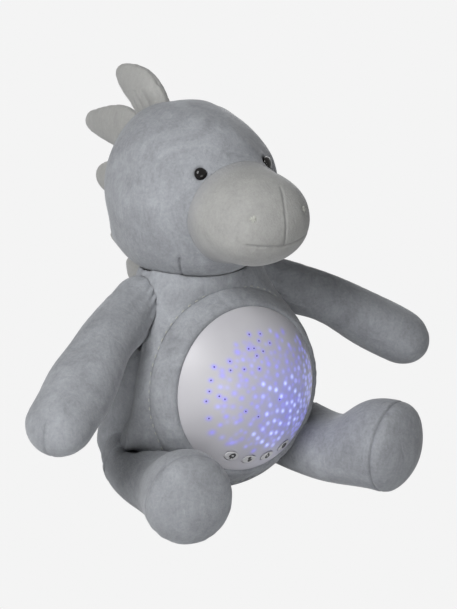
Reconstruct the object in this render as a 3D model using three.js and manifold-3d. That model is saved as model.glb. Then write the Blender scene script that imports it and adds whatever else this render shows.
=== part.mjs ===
// Plush night light: a seated stuffed dinosaur that holds a round star lamp in its belly.
// Millimetres, +Z up. The front faces -Y, and the origin lies under the middle of the seat.
import * as THREE from 'three';
import { mergeVertices } from 'three/addons/utils/BufferGeometryUtils.js';
import Module from 'manifold-3d';

const wasm = await Module();
wasm.setup();

// Clearances and cutting
const GAP = 0.3;
const SOCKET_GAP = 0.9;
const OVERRUN = 4;
const FLOOR_CUT = 0.5;

// Body
const CHEST_RISE = 33.5;
const TORSO_HALF_WIDTH = 63;
const TORSO_HALF_DEPTH = 55;
const SEAT_CAP = 28;
const NECK_CAP = 12;
const BELLY_REACH = 9;
const BELLY_DEPTH = 32;

// Head
const HEAD_RADIUS = 54.5;
const HEAD_HALF_WIDTH = 51.5;
const HEAD_BACK = 12.5;
const HEAD_SINK = 28.5;
const NOD_LIMITS_DEG = [-3, 10];
const MUZZLE_REACH = 95;
const MUZZLE_ROOT = 24;
const MUZZLE_HALF_WIDTH = 36;
const MUZZLE_HALF_HEIGHT = 29;
const MUZZLE_DROP = 6;
const MUZZLE_CAP = 34;
const EYE_SPREAD = 23;
const EYE_RAISE = 22;
const EYE_RADIUS = 3.6;
const EYE_HEIGHT = 3;
const EYE_STEM_RADIUS = 1.3;
const EYE_STEM_LENGTH = 9;
const WASHER_RADIUS = 6;
const WASHER_THICK = 1.5;
const WASHER_DEPTH = 6;

// Arms
const SHOULDER_SPREAD = 42;
const SHOULDER_DROP = 34;
const SHOULDER_BACK = 6;
const SHOULDER_RADIUS = 18;
const ARM_REACH = 100;
const ARM_BOW = 4;
const ARM_HALF_WIDTH = 19;
const ARM_HALF_HEIGHT = 16.5;
const ARM_DROP_DEG = 23;
const ARM_FORWARD_DEG = 31;
const ARM_LIMITS_DEG = [-10, 30];

// Legs
const HIP_SPREAD = 43;
const HIP_BACK = 2;
const HIP_RADIUS = 22;
const HAUNCH_RADIUS = 28;
const LEG_REACH = 113;
const LEG_SPLAY_DEG = 18;
const ANKLE_RADIUS = 22;
const FOOT_RADIUS = 28;
const FOOT_CAP = 13;
const SOLE_THICK = 2;
const SOLE_RADIUS = 24;
const LEG_LIMITS_DEG = [0, 20];

// Crest and tail
const SPIKE_LENGTH = 46;
const SPIKE_HALF_THICK = 9.2;
const SPIKE_ROOT = 9;
const SPIKE_LEAN = 12;
const TAIL_LENGTH = 62;
const TAIL_RADIUS = 20;
const TAIL_TIP_RADIUS = 7;
const TAIL_SPIKE_TURN_DEG = 40;
const BACK_SPIKE_RISE = 14;
const BACK_SPIKE_TILT_DEG = 7;

// Back flap
const FLAP_WIDTH = 64;
const FLAP_HEIGHT = 46;
const FLAP_THICK = 3;
const FLAP_CORNER = 8;
const STRIP_WIDTH = 48;
const STRIP_HEIGHT = 14;
const STRIP_THICK = 0.8;
const STRIP_MARGIN = 4;

// Star lamp, measured in its own frame: +Z out of the belly, z = 0 at the rim of the dome
const LAMP_LIFT = 18.5;
const LAMP_FORWARD = 45;
const LAMP_TILT_DEG = 8;
const LAMP_ROLL_DEG = -4;
const DOME_MARGIN = 2.8;
const DOME_RISE = 24;
const DOME_WALL = 1.8;
const DOME_SKIRT = 5;
const BEZEL_WIDTH = 2.2;
const BEZEL_SINK = 0.8;
const DECK_THICK = 1.7;
const HOUSING_DEPTH = 40;
const HOUSING_WALL = 2;
const HOUSING_ROUND = 4;
const POST_RADIUS = 3.5;
const POST_TIP_RADIUS = 2.5;
const POST_INSET = 7;
const SCREW_RADIUS = 1.2;
const SCREW_HEAD_RADIUS = 2.4;
const SCREW_HEAD_HEIGHT = 1.4;
const SCREW_LENGTH = 8;
const BOARD_DROP = 5;
const BOARD_THICK = 1.6;
const BOARD_INSET = 4;
const BUTTON_INSET = 8.5;
const BUTTON_PITCH_DEG = 18.5;
const BUTTON_HALF_LENGTH = 4.4;
const BUTTON_HALF_WIDTH = 2.7;
const BUTTON_PROUD = 0.9;
const BUTTON_TRAVEL = 0.6;
const SWITCH_SIDE = 6;
const SWITCH_HEIGHT = 3.2;
const PLUNGER_RADIUS = 1.7;
const PLUNGER_HEIGHT = 0.5;
const REFLECTOR_RADIUS = 29;
const REFLECTOR_NECK = 10.5;
const REFLECTOR_WALL = 1.2;
const REFLECTOR_LIP = 3.5;
const LED_RADIUS = 2.5;
const LED_HEIGHT = 7;
const LED_RING = 5.4;
const CELL_RADIUS = 7.1;
const CELL_LENGTH = 49;
const CELL_NUB_RADIUS = 2.7;
const CELL_NUB_LENGTH = 1.2;
const SPRING_LENGTH = 3.4;
const SPRING_RADIUS = 3.4;
const SPRING_WIRE = 0.35;
const CONTACT_THICK = 0.5;
const TAB_WIDTH = 3;
const TAB_LENGTH = 3;
const TRAY_WALL = 1.6;
const TRAY_DROP = 9;
const DOOR_THICK = 1.8;
const DOOR_MARGIN = 3;
const DOOR_BOSS_RADIUS = 4;
const SPEAKER_UP = 30;
const SPEAKER_RADIUS = 13;
const SPEAKER_DEPTH = 6.3;
const MAGNET_RADIUS = 7;
const MAGNET_HEIGHT = 4.5;
const GRILLE_HOLE_RADIUS = 1.5;
const LEAD_RADIUS = 0.7;

// Counts of sides and steps
const ROUND_SIDES = 32;
const SMALL_SIDES = 8;
const DOME_STEPS = 5;
const FORM_SIDES = 18;
const SPEAKER_SIDES = 16;
const EYE_SIDES = 14;
const GRILLE_RING_HOLES = 6;

// Shares, each of the sizes that it follows: height, lean, half width and half depth of the torso
const torso_shares = [
  [0, 0.067, 0.81, 0.82],
  [0.2, 0.013, 1, 1],
  [0.5, 0, 0.96, 0.95],
  [0.77, 0.05, 0.77, 0.76],
  [1, 0.093, 0.57, 0.57],
];
// Places round the head of the crest spikes, from straight up towards the back, then their reach
// and how far each tip leans down the back
const head_spike_angles_deg = [44.5, 72, 98.5, 125];
const head_spike_reach_share = [0.95, 1.38, 1.2, 1.06];
const head_spike_lean_share = [1, 1, -0.1, -1.1];
// Width of a spike as a share of the head, height of the flap's middle as a share of the torso,
// the reach of the back spike and the tail's spike, and the size of a limb's root as it swings
const spike_width_share = 0.238;
const flap_height_share = 0.46;
const back_spike_reach_share = 0.82;
const tail_spike_reach_share = 0.5;
const ROOM_ROOT_SHARE = 0.97;
// The right leg sits bunched a little further into the body than the left, and the right arm
// is stuffed out a little longer
const right_leg_reach_share = 0.91;
const right_arm_reach_share = 1.05;

const SIDES = { left: 1, right: -1 };
const radians = THREE.MathUtils.degToRad;
const vec = (x, y, z) => new THREE.Vector3(x, y, z);

// Geometry helpers

function signedVolume(geometry) {
  const place = geometry.getAttribute('position');
  const index = geometry.index;
  const [a, b, c] = [vec(0, 0, 0), vec(0, 0, 0), vec(0, 0, 0)];
  let sum = 0;
  for (let i = 0; i < index.count; i += 3) {
    a.fromBufferAttribute(place, index.getX(i));
    b.fromBufferAttribute(place, index.getX(i + 1));
    c.fromBufferAttribute(place, index.getX(i + 2));
    sum += a.dot(b.cross(c)) / 6;
  }
  return sum;
}

// Shared vertices merged, empty triangles dropped and faces turned outwards
function closed(geometry) {
  const bare = geometry.clone();
  bare.deleteAttribute('normal');
  bare.deleteAttribute('uv');
  const merged = mergeVertices(bare);
  const kept = [];
  for (let i = 0; i < merged.index.count; i += 3) {
    const corners = [0, 1, 2].map((k) => merged.index.getX(i + k));
    if (new Set(corners).size === 3) kept.push(corners);
  }
  merged.setIndex(kept.flat());
  if (signedVolume(merged) < 0) merged.setIndex(kept.map(([a, b, c]) => [a, c, b]).flat());
  return merged;
}

function solidOf(geometry) {
  const shape = closed(geometry);
  return new wasm.Manifold(new wasm.Mesh({
    numProp: 3,
    vertProperties: new Float32Array(shape.getAttribute('position').array),
    triVerts: new Uint32Array(shape.index.array),
  }));
}

function geometryOf(solid) {
  const mesh = solid.getMesh();
  const geometry = new THREE.BufferGeometry();
  geometry.setAttribute('position', new THREE.BufferAttribute(mesh.vertProperties, mesh.numProp));
  geometry.setIndex(new THREE.BufferAttribute(mesh.triVerts, 1));
  return geometry;
}

const cut = (solid, ...tools) => tools.reduce((left, tool) => left.subtract(tool), solid);
const join = (solid, ...others) => others.reduce((sum, other) => sum.add(other), solid);

// A body of revolution round Z from points [radius, height]; it closes on the axis or on itself
function turned(points, sides = ROUND_SIDES) {
  const profile = points.map(([radius, height]) => new THREE.Vector2(radius, height));
  if (points[0][0] > 0) profile.push(profile[0].clone());
  return new THREE.LatheGeometry(profile, sides).rotateX(Math.PI / 2);
}

function rod(radius, from, to, sides = SMALL_SIDES) {
  const height = to - from;
  return new THREE.CylinderGeometry(radius, radius, height, sides)
    .rotateX(Math.PI / 2).translate(0, 0, from + height / 2);
}

function block(width, depth, from, to) {
  return new THREE.BoxGeometry(width, depth, to - from).translate(0, 0, (from + to) / 2);
}

// A rounded rectangle of half sizes x and y, raised from one height to another
function roundedPlate(halfX, halfY, corner, from, to) {
  const shape = new THREE.Shape();
  shape.absarc(halfX - corner, halfY - corner, corner, 0, Math.PI / 2);
  shape.absarc(corner - halfX, halfY - corner, corner, Math.PI / 2, Math.PI);
  shape.absarc(corner - halfX, corner - halfY, corner, Math.PI, Math.PI * 1.5);
  shape.absarc(halfX - corner, corner - halfY, corner, Math.PI * 1.5, Math.PI * 2);
  const settings = { depth: to - from, bevelEnabled: false, curveSegments: 3 };
  return new THREE.ExtrudeGeometry(shape, settings).translate(0, 0, from);
}

// A round wire or lead along a smooth route
function wire(route, radius, steps, sides) {
  const section = new THREE.Shape();
  section.absarc(0, 0, radius, 0, Math.PI * 2);
  const extrudePath = new THREE.CatmullRomCurve3(route);
  const settings = { steps, extrudePath, curveSegments: sides / 2 };
  return new THREE.ExtrudeGeometry(section, settings);
}

// A stuffed form: oval rings along a smooth spine, closed by a rounded cap at each end.
// stations are [place, half width, half height]; grow swells it evenly all round.
function stuffedForm({
  stations, upward, caps, grow = 0, rings = 10, capRings = 4, sides = FORM_SIDES,
}) {
  const places = stations.map(([place]) => place.clone());
  const last = places.length - 1;
  const stretch = (end, next) => {
    const outwards = places[end].clone().sub(places[next]).normalize();
    places[end].addScaledVector(outwards, grow);
  };
  stretch(0, 1);
  stretch(last, last - 1);
  const spine = new THREE.CatmullRomCurve3(places);
  const swell = new THREE.CatmullRomCurve3(stations.map(([, wide, high]) => vec(wide, high, 0)));
  const length = spine.getLength();
  const [startCap, endCap] = caps.map((cap) => cap + grow);
  const stops = [];
  for (let i = 1; i <= capRings; i += 1) {
    const angle = (i / capRings) * (Math.PI / 2);
    stops.push([startCap * (1 - Math.cos(angle)), Math.sin(angle)]);
  }
  for (let i = 1; i < rings; i += 1) {
    stops.push([startCap + ((length - startCap - endCap) * i) / rings, 1]);
  }
  for (let i = capRings; i >= 1; i -= 1) {
    const angle = (i / capRings) * (Math.PI / 2);
    stops.push([length - endCap * (1 - Math.cos(angle)), Math.sin(angle)]);
  }
  const points = [spine.getPoint(0)];
  stops.forEach(([along, fullness]) => {
    const t = spine.getUtoTmapping(along / length);
    const centre = spine.getPoint(t);
    const size = swell.getPoint(t);
    const ahead = spine.getTangent(t);
    const across = ahead.clone().cross(upward).normalize();
    const up = across.clone().cross(ahead);
    for (let k = 0; k < sides; k += 1) {
      const turn = (k / sides) * Math.PI * 2;
      points.push(centre.clone()
        .addScaledVector(across, Math.cos(turn) * (size.x + grow) * fullness)
        .addScaledVector(up, Math.sin(turn) * (size.y + grow) * fullness));
    }
  });
  points.push(spine.getPoint(1));
  const index = [];
  const ringStart = (ring) => 1 + ring * sides;
  for (let k = 0; k < sides; k += 1) {
    const next = (k + 1) % sides;
    index.push(0, ringStart(0) + next, ringStart(0) + k);
    for (let ring = 0; ring < stops.length - 1; ring += 1) {
      const [low, high] = [ringStart(ring), ringStart(ring + 1)];
      index.push(low + k, low + next, high + next, low + k, high + next, high + k);
    }
    const top = ringStart(stops.length - 1);
    index.push(points.length - 1, top + k, top + next);
  }
  const geometry = new THREE.BufferGeometry().setFromPoints(points);
  geometry.setIndex(index);
  return geometry;
}

// Materials

function material(color, roughness, metalness = 0) {
  return new THREE.MeshStandardMaterial({ color, roughness, metalness });
}

const MATERIALS = {
  plush: material('#8b8f95', 0.95),
  pale_plush: material('#a3a39c', 0.95),
  loop_tape: material('#6f7378', 0.9),
  eye_black: material('#0d0c0c', 0.12),
  dome_white: material('#d4d2dc', 0.4),
  bezel_grey: material('#8f9196', 0.5),
  white_plastic: material('#e6e6e4', 0.45),
  reflector_white: material('#f2f2f0', 0.3),
  board_green: material('#1f6b3f', 0.5),
  switch_black: material('#222224', 0.5),
  led_clear: material('#b9b6f0', 0.15),
  cell_jacket: material('#5b6f86', 0.35),
  nickel: material('#b8b6b0', 0.3, 1),
  steel: material('#8d8f92', 0.35, 1),
  cone_paper: material('#2b2b2d', 0.8),
  lead_red: material('#a32a25', 0.5),
  lead_black: material('#1d1d1f', 0.5),
};

const plushLight = new THREE.Group();

function addPiece(parent, name, shape, materialName) {
  const geometry = shape instanceof THREE.BufferGeometry ? closed(shape) : geometryOf(shape);
  const mesh = new THREE.Mesh(geometry, MATERIALS[materialName]);
  mesh.name = name;
  parent.add(mesh);
}

// The plan of the battery tray, three cells side by side, and the dome's radius round it

const cellPitch = CELL_RADIUS * 2 + GAP;
const contactPlace = (CELL_LENGTH + CELL_NUB_LENGTH + SPRING_LENGTH + CONTACT_THICK) / 2 + GAP;
const trayHalfLength = contactPlace + CONTACT_THICK / 2 + GAP * 2;
const trayHalfWidth = cellPitch * 1.5 + GAP;
const trayCentre = -TRAY_DROP;
const trayCorner = Math.hypot(trayHalfLength + TRAY_WALL, trayCentre - trayHalfWidth - TRAY_WALL);
const domeRadius = trayCorner + DOME_MARGIN + HOUSING_WALL;

// The lamp frame on the belly, and the heights that follow the lamp

const lampHeight = LAMP_LIFT + domeRadius;
const torsoHeight = lampHeight + domeRadius + CHEST_RISE;

const lampFrame = new THREE.Group();
lampFrame.position.set(0, -LAMP_FORWARD, lampHeight);
lampFrame.rotation.set(radians(90 - LAMP_TILT_DEG), 0, radians(LAMP_ROLL_DEG));
lampFrame.updateMatrixWorld();
plushLight.add(lampFrame);

const inLampFrame = (geometry) => solidOf(geometry.applyMatrix4(lampFrame.matrixWorld));

// Levels in the lamp frame, from the rim of the dome inwards
const skirtEnd = -DOME_SKIRT;
const deckTop = skirtEnd - GAP;
const deckUnder = deckTop - DECK_THICK;
const housingTop = deckUnder - GAP;
const housingEnd = housingTop - HOUSING_DEPTH;
const rearInside = housingEnd + HOUSING_WALL;
const flangeUnder = housingTop - HOUSING_WALL;
const boardTop = deckUnder - BOARD_DROP;
const boardUnder = boardTop - BOARD_THICK;
const postRing = domeRadius - POST_INSET;
const boardRadius = domeRadius - BOARD_INSET;
const buttonRing = domeRadius - BUTTON_INSET;
const bezelInner = domeRadius + GAP;
const bezelOuter = bezelInner + BEZEL_WIDTH;
const doorInner = housingEnd - GAP;
const doorOuter = doorInner - DOOR_THICK;

// Torso

const torsoStations = torso_shares.map(([height, lean, wide, deep]) => [
  vec(0, torsoHeight * lean, (torsoHeight + FLOOR_CUT) * height - FLOOR_CUT),
  TORSO_HALF_WIDTH * wide,
  TORSO_HALF_DEPTH * deep,
]);

function torsoForm(grow = 0) {
  return solidOf(stuffedForm({
    stations: torsoStations, upward: vec(0, 1, 0), caps: [SEAT_CAP, NECK_CAP], grow,
    rings: 8, sides: 28,
  }));
}

// The round belly that swells up to the rim of the lamp and hides its housing
function bellyForm(grow = 0) {
  const full = bezelOuter + BELLY_REACH + grow;
  return inLampFrame(turned([
    [0, grow - BEZEL_SINK * 2],
    [bezelOuter + BEZEL_SINK + grow, grow - BEZEL_SINK * 2],
    [full - BELLY_REACH * 0.57, -BELLY_REACH * 0.67],
    [full - BELLY_REACH * 0.22, -BELLY_REACH * 1.28],
    [full, -BELLY_REACH * 1.95],
    [full - BELLY_REACH, -BELLY_DEPTH - grow],
    [0, -BELLY_DEPTH - grow],
  ]));
}

// The room of the lamp with a clearance all round, open to a height in front of its rim
function lampRoom(clear, front) {
  const back = doorOuter - clear - SCREW_HEAD_HEIGHT;
  return inLampFrame(turned([
    [0, back],
    [domeRadius + clear, back],
    [domeRadius + clear, flangeUnder - clear],
    [bezelOuter + clear, flangeUnder - clear],
    [bezelOuter + clear, front],
    [0, front],
  ]));
}

const floorSlab = () => {
  const reach = torsoHeight * 2;
  return solidOf(block(reach, reach, -torsoHeight, 0));
};

// Head

const headCentre = vec(0, HEAD_BACK, torsoHeight + HEAD_RADIUS - HEAD_SINK);

function headForm(grow = 0) {
  const half = HEAD_HALF_WIDTH;
  const round = HEAD_RADIUS;
  return solidOf(stuffedForm({
    stations: [-half, 0, half].map((x) => [vec(x, 0, 0).add(headCentre), round, round]),
    upward: vec(0, 0, 1), caps: [half, half], grow, rings: 1, capRings: 6, sides: 28,
  }));
}

function muzzleForm() {
  const at = (reach, drop) => vec(0, -reach, -drop).add(headCentre);
  const middle = (MUZZLE_ROOT + MUZZLE_REACH) / 2;
  return solidOf(stuffedForm({
    stations: [
      [at(MUZZLE_ROOT, 0), MUZZLE_HALF_WIDTH * 0.92, MUZZLE_HALF_HEIGHT * 0.95],
      [at(middle, MUZZLE_DROP * 0.5), MUZZLE_HALF_WIDTH * 0.95, MUZZLE_HALF_HEIGHT * 0.96],
      [at(MUZZLE_REACH, MUZZLE_DROP), MUZZLE_HALF_WIDTH, MUZZLE_HALF_HEIGHT],
    ],
    upward: vec(0, 0, 1), caps: [OVERRUN, MUZZLE_CAP], rings: 4, capRings: 5, sides: 22,
  }));
}

// Place and outward turn of an eye on the head
function eyeMatrix(side) {
  const across = EYE_SPREAD / HEAD_HALF_WIDTH;
  const raise = EYE_RAISE / HEAD_RADIUS;
  const ahead = Math.sqrt(1 - across ** 2 - raise ** 2);
  const place = vec(side * EYE_SPREAD, -ahead * HEAD_RADIUS, EYE_RAISE).add(headCentre);
  const normal = vec((side * across) / HEAD_HALF_WIDTH, -ahead / HEAD_RADIUS, raise / HEAD_RADIUS);
  const turn = new THREE.Quaternion().setFromUnitVectors(vec(0, 0, 1), normal.normalize());
  return new THREE.Matrix4().compose(place, turn, vec(1, 1, 1));
}

function eyePocket(side) {
  const shaft = rod(EYE_STEM_RADIUS + GAP, -EYE_STEM_LENGTH - GAP, OVERRUN, EYE_SIDES);
  const seat = rod(WASHER_RADIUS + GAP, -WASHER_DEPTH - WASHER_THICK - GAP, GAP - WASHER_DEPTH, EYE_SIDES);
  return join(solidOf(shaft), solidOf(seat)).transform(eyeMatrix(side).elements);
}

function addEye(name, side) {
  const stem = EYE_STEM_RADIUS;
  const eye = turned([
    [0, -EYE_STEM_LENGTH],
    [stem, -EYE_STEM_LENGTH],
    [stem, GAP],
    [EYE_RADIUS, GAP],
    [EYE_RADIUS * 0.98, EYE_HEIGHT * 0.4],
    [EYE_RADIUS * 0.8, EYE_HEIGHT * 0.75],
    [EYE_RADIUS * 0.45, EYE_HEIGHT * 0.95],
    [0, EYE_HEIGHT],
  ], EYE_SIDES);
  addPiece(plushLight, `eye_${name}`, eye.applyMatrix4(eyeMatrix(side)), 'eye_black');
  const washer = turned([
    [stem + GAP, -WASHER_DEPTH - WASHER_THICK],
    [WASHER_RADIUS, -WASHER_DEPTH - WASHER_THICK],
    [WASHER_RADIUS, -WASHER_DEPTH],
    [stem + GAP, -WASHER_DEPTH],
  ], EYE_SIDES);
  addPiece(plushLight, `eye_washer_${name}`, washer.applyMatrix4(eyeMatrix(side)), 'white_plastic');
}

const spikeHalfWidth = HEAD_RADIUS * spike_width_share;

// A crest spike: a flat stuffed leaf that stands on a curved back, leaning along it
function spikeForm(root, outwards, reachShare, leanShare = 1) {
  const along = vec(1, 0, 0).cross(outwards).normalize();
  const length = SPIKE_LENGTH * reachShare;
  const wide = spikeHalfWidth;
  const tipLean = SPIKE_LEAN * leanShare;
  const at = (rise, lean) => root.clone().addScaledVector(outwards, rise).addScaledVector(along, -lean);
  return solidOf(stuffedForm({
    stations: [
      [at(-SPIKE_ROOT, 0), wide, SPIKE_HALF_THICK],
      [at(length * 0.3, -tipLean * 0.1), wide * 0.94, SPIKE_HALF_THICK],
      [at(length * 0.68, tipLean * 0.3), wide * 0.7, SPIKE_HALF_THICK * 0.8],
      [at(length, tipLean), wide * 0.42, SPIKE_HALF_THICK * 0.5],
    ],
    upward: vec(1, 0, 0), caps: [OVERRUN, wide * 0.8], rings: 3, capRings: 3, sides: 10,
  }));
}

function headSpikes() {
  return head_spike_angles_deg.map((angle, i) => {
    const outwards = vec(0, Math.sin(radians(angle)), Math.cos(radians(angle)));
    const root = headCentre.clone().addScaledVector(outwards, HEAD_RADIUS);
    return spikeForm(root, outwards, head_spike_reach_share[i], head_spike_lean_share[i]);
  });
}

// How far back the torso reaches at a height, read off its stations
function torsoBack(height) {
  const upper = torsoStations.findIndex(([place]) => place.z >= height);
  const [below, above] = [torsoStations[upper - 1], torsoStations[upper]];
  const share = (height - below[0].z) / (above[0].z - below[0].z);
  const back = (station) => station[0].y + station[2];
  return back(below) + (back(above) - back(below)) * share;
}

// Arms: each starts as a ball in the shoulder, so that it swings in its socket

const shoulder = (side) => vec(side * SHOULDER_SPREAD, SHOULDER_BACK, torsoHeight - SHOULDER_DROP);

function armForm(side, grow = 0, rootShare = 1) {
  const root = SHOULDER_RADIUS * rootShare;
  const along = vec(side * Math.cos(radians(ARM_FORWARD_DEG)), -Math.sin(radians(ARM_FORWARD_DEG)), 0)
    .multiplyScalar(Math.cos(radians(ARM_DROP_DEG)))
    .add(vec(0, 0, -Math.sin(radians(ARM_DROP_DEG))));
  const full = side > 0 ? ARM_REACH : ARM_REACH * right_arm_reach_share;
  const at = (reach, bow) => shoulder(side).addScaledVector(along, reach).add(vec(0, 0, bow));
  return solidOf(stuffedForm({
    stations: [
      [at(-root, 0), root, root],
      [at(0, 0), root, root],
      [at(full * 0.45, ARM_BOW), ARM_HALF_WIDTH * 0.92, ARM_HALF_HEIGHT * 0.94],
      [at(full * 0.85, ARM_BOW * 0.4), ARM_HALF_WIDTH * 1.12, ARM_HALF_HEIGHT * 1.08],
      [at(full + ARM_HALF_WIDTH, 0), ARM_HALF_WIDTH, ARM_HALF_HEIGHT],
    ],
    upward: vec(0, 0, 1), caps: [root, ARM_HALF_WIDTH], grow, rings: 7,
  }));
}

// A solid turned about a line through a pivot
function swung(solid, pivot, axis, degrees) {
  const turn = new THREE.Matrix4().makeRotationAxis(axis, radians(degrees));
  const matrix = new THREE.Matrix4().makeTranslation(pivot)
    .multiply(turn).multiply(new THREE.Matrix4().makeTranslation(pivot.clone().negate()));
  return solid.transform(matrix.elements);
}

// The room that a limb needs at rest and at turns on its way to its limits. The ball at its
// root only turns in its socket, so the turned copies have a smaller one.
function limbRoom(form, side, pivot, axis, turns) {
  const copies = turns.map((degrees) => (
    swung(form(side, SOCKET_GAP, ROOM_ROOT_SHARE), pivot, axis, degrees)));
  return [form(side, SOCKET_GAP), ...copies];
}

// Arms lift sideways about a line that runs fore and aft; legs splay on the floor
const armAxis = (side) => vec(0, -side, 0);
const legAxis = (side) => vec(0, 0, side);

// Legs

const legReach = (side) => (side > 0 ? LEG_REACH : LEG_REACH * right_leg_reach_share);
const hip = (side) => vec(side * HIP_SPREAD, HIP_BACK, HIP_RADIUS - FLOOR_CUT);

function legForm(side, grow = 0, rootShare = 1) {
  const root = HIP_RADIUS * rootShare;
  const along = vec(side * Math.sin(radians(LEG_SPLAY_DEG)), -Math.cos(radians(LEG_SPLAY_DEG)), 0);
  const full = legReach(side);
  const at = (reach, radius) => {
    const place = hip(side).addScaledVector(along, reach);
    place.z = radius - FLOOR_CUT;
    return place;
  };
  return solidOf(stuffedForm({
    stations: [
      [at(-root, HIP_RADIUS), root, root],
      [at(0, HIP_RADIUS), root, root],
      [at(full * 0.5, ANKLE_RADIUS), ANKLE_RADIUS, ANKLE_RADIUS],
      [at(full * 0.82, FOOT_RADIUS), FOOT_RADIUS * 0.94, FOOT_RADIUS],
      [at(full, FOOT_RADIUS), FOOT_RADIUS * 0.9, FOOT_RADIUS * 0.94],
    ],
    upward: vec(0, 0, 1), caps: [root, FOOT_CAP], grow, rings: 8,
  }));
}

// The sewn sole: a patch of skin over the end of the foot
function soleForm(side) {
  const skin = cut(legForm(side, GAP + SOLE_THICK), legForm(side, GAP));
  const reach = LEG_REACH * 2;
  const turn = radians(side * LEG_SPLAY_DEG);
  const punch = rod(SOLE_RADIUS, 0, reach, 24).rotateX(Math.PI / 2).rotateZ(turn)
    .translate(hip(side).x, hip(side).y, FOOT_RADIUS - FLOOR_CUT);
  const ahead = block(reach, reach, -reach, reach).translate(0, -reach / 2 - legReach(side) * 0.9, 0)
    .rotateZ(turn).translate(hip(side).x, hip(side).y, 0);
  return skin.intersect(solidOf(punch)).intersect(solidOf(ahead));
}

// The haunches, where the body swells round the roots of the legs
function haunch(side) {
  const ball = new THREE.SphereGeometry(HAUNCH_RADIUS, 24, 14);
  return solidOf(ball.translate(side * HIP_SPREAD, HIP_BACK, HAUNCH_RADIUS - FLOOR_CUT));
}

// Tail: a short stub low on the back
const tailStart = TORSO_HALF_DEPTH * 0.6;

function tailForm(grow = 0) {
  const at = (reach, radius) => vec(0, tailStart + reach, radius - FLOOR_CUT);
  return solidOf(stuffedForm({
    stations: [
      [at(0, TAIL_RADIUS), TAIL_RADIUS * 1.15, TAIL_RADIUS],
      [at(TAIL_LENGTH * 0.5, TAIL_RADIUS * 0.75), TAIL_RADIUS * 0.8, TAIL_RADIUS * 0.75],
      [at(TAIL_LENGTH, TAIL_TIP_RADIUS), TAIL_TIP_RADIUS, TAIL_TIP_RADIUS],
    ],
    upward: vec(0, 0, 1), caps: [OVERRUN, TAIL_TIP_RADIUS], grow, rings: 5, sides: 16,
  }));
}

function tailSpike() {
  const turn = radians(TAIL_SPIKE_TURN_DEG);
  const root = vec(0, tailStart + TAIL_LENGTH * 0.5, TAIL_RADIUS * 1.5 - FLOOR_CUT);
  return spikeForm(root, vec(0, Math.sin(turn), Math.cos(turn)), tail_spike_reach_share);
}

// A patch of the torso's skin on its back, between two depths over the surface
function backPatch(inner, outer, halfWidth, low, high, corner) {
  const skin = cut(torsoForm(outer), torsoForm(inner));
  const middle = (low + high) / 2;
  const punch = roundedPlate(halfWidth, (high - low) / 2, corner, 0, TORSO_HALF_DEPTH * 2)
    .rotateX(-Math.PI / 2).translate(0, 0, middle);
  return skin.intersect(solidOf(punch));
}

const flapMiddle = torsoHeight * flap_height_share;
const flapLow = flapMiddle - FLAP_HEIGHT / 2;
const flapHigh = flapMiddle + FLAP_HEIGHT / 2;
const stripLow = flapLow + STRIP_MARGIN;
const stripHigh = stripLow + STRIP_HEIGHT;

// The back spike stands over the flap, tilted up towards the crest
function backSpike() {
  const height = flapHigh + BACK_SPIKE_RISE;
  const tilt = radians(BACK_SPIKE_TILT_DEG);
  const outwards = vec(0, Math.cos(tilt), Math.sin(tilt));
  return spikeForm(vec(0, torsoBack(height), height), outwards, back_spike_reach_share);
}

function stripPatch(inner, outer, grow) {
  const half = STRIP_WIDTH / 2 + grow;
  return backPatch(inner, outer, half, stripLow - grow, stripHigh + grow, STRIP_MARGIN / 2 + grow);
}

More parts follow.
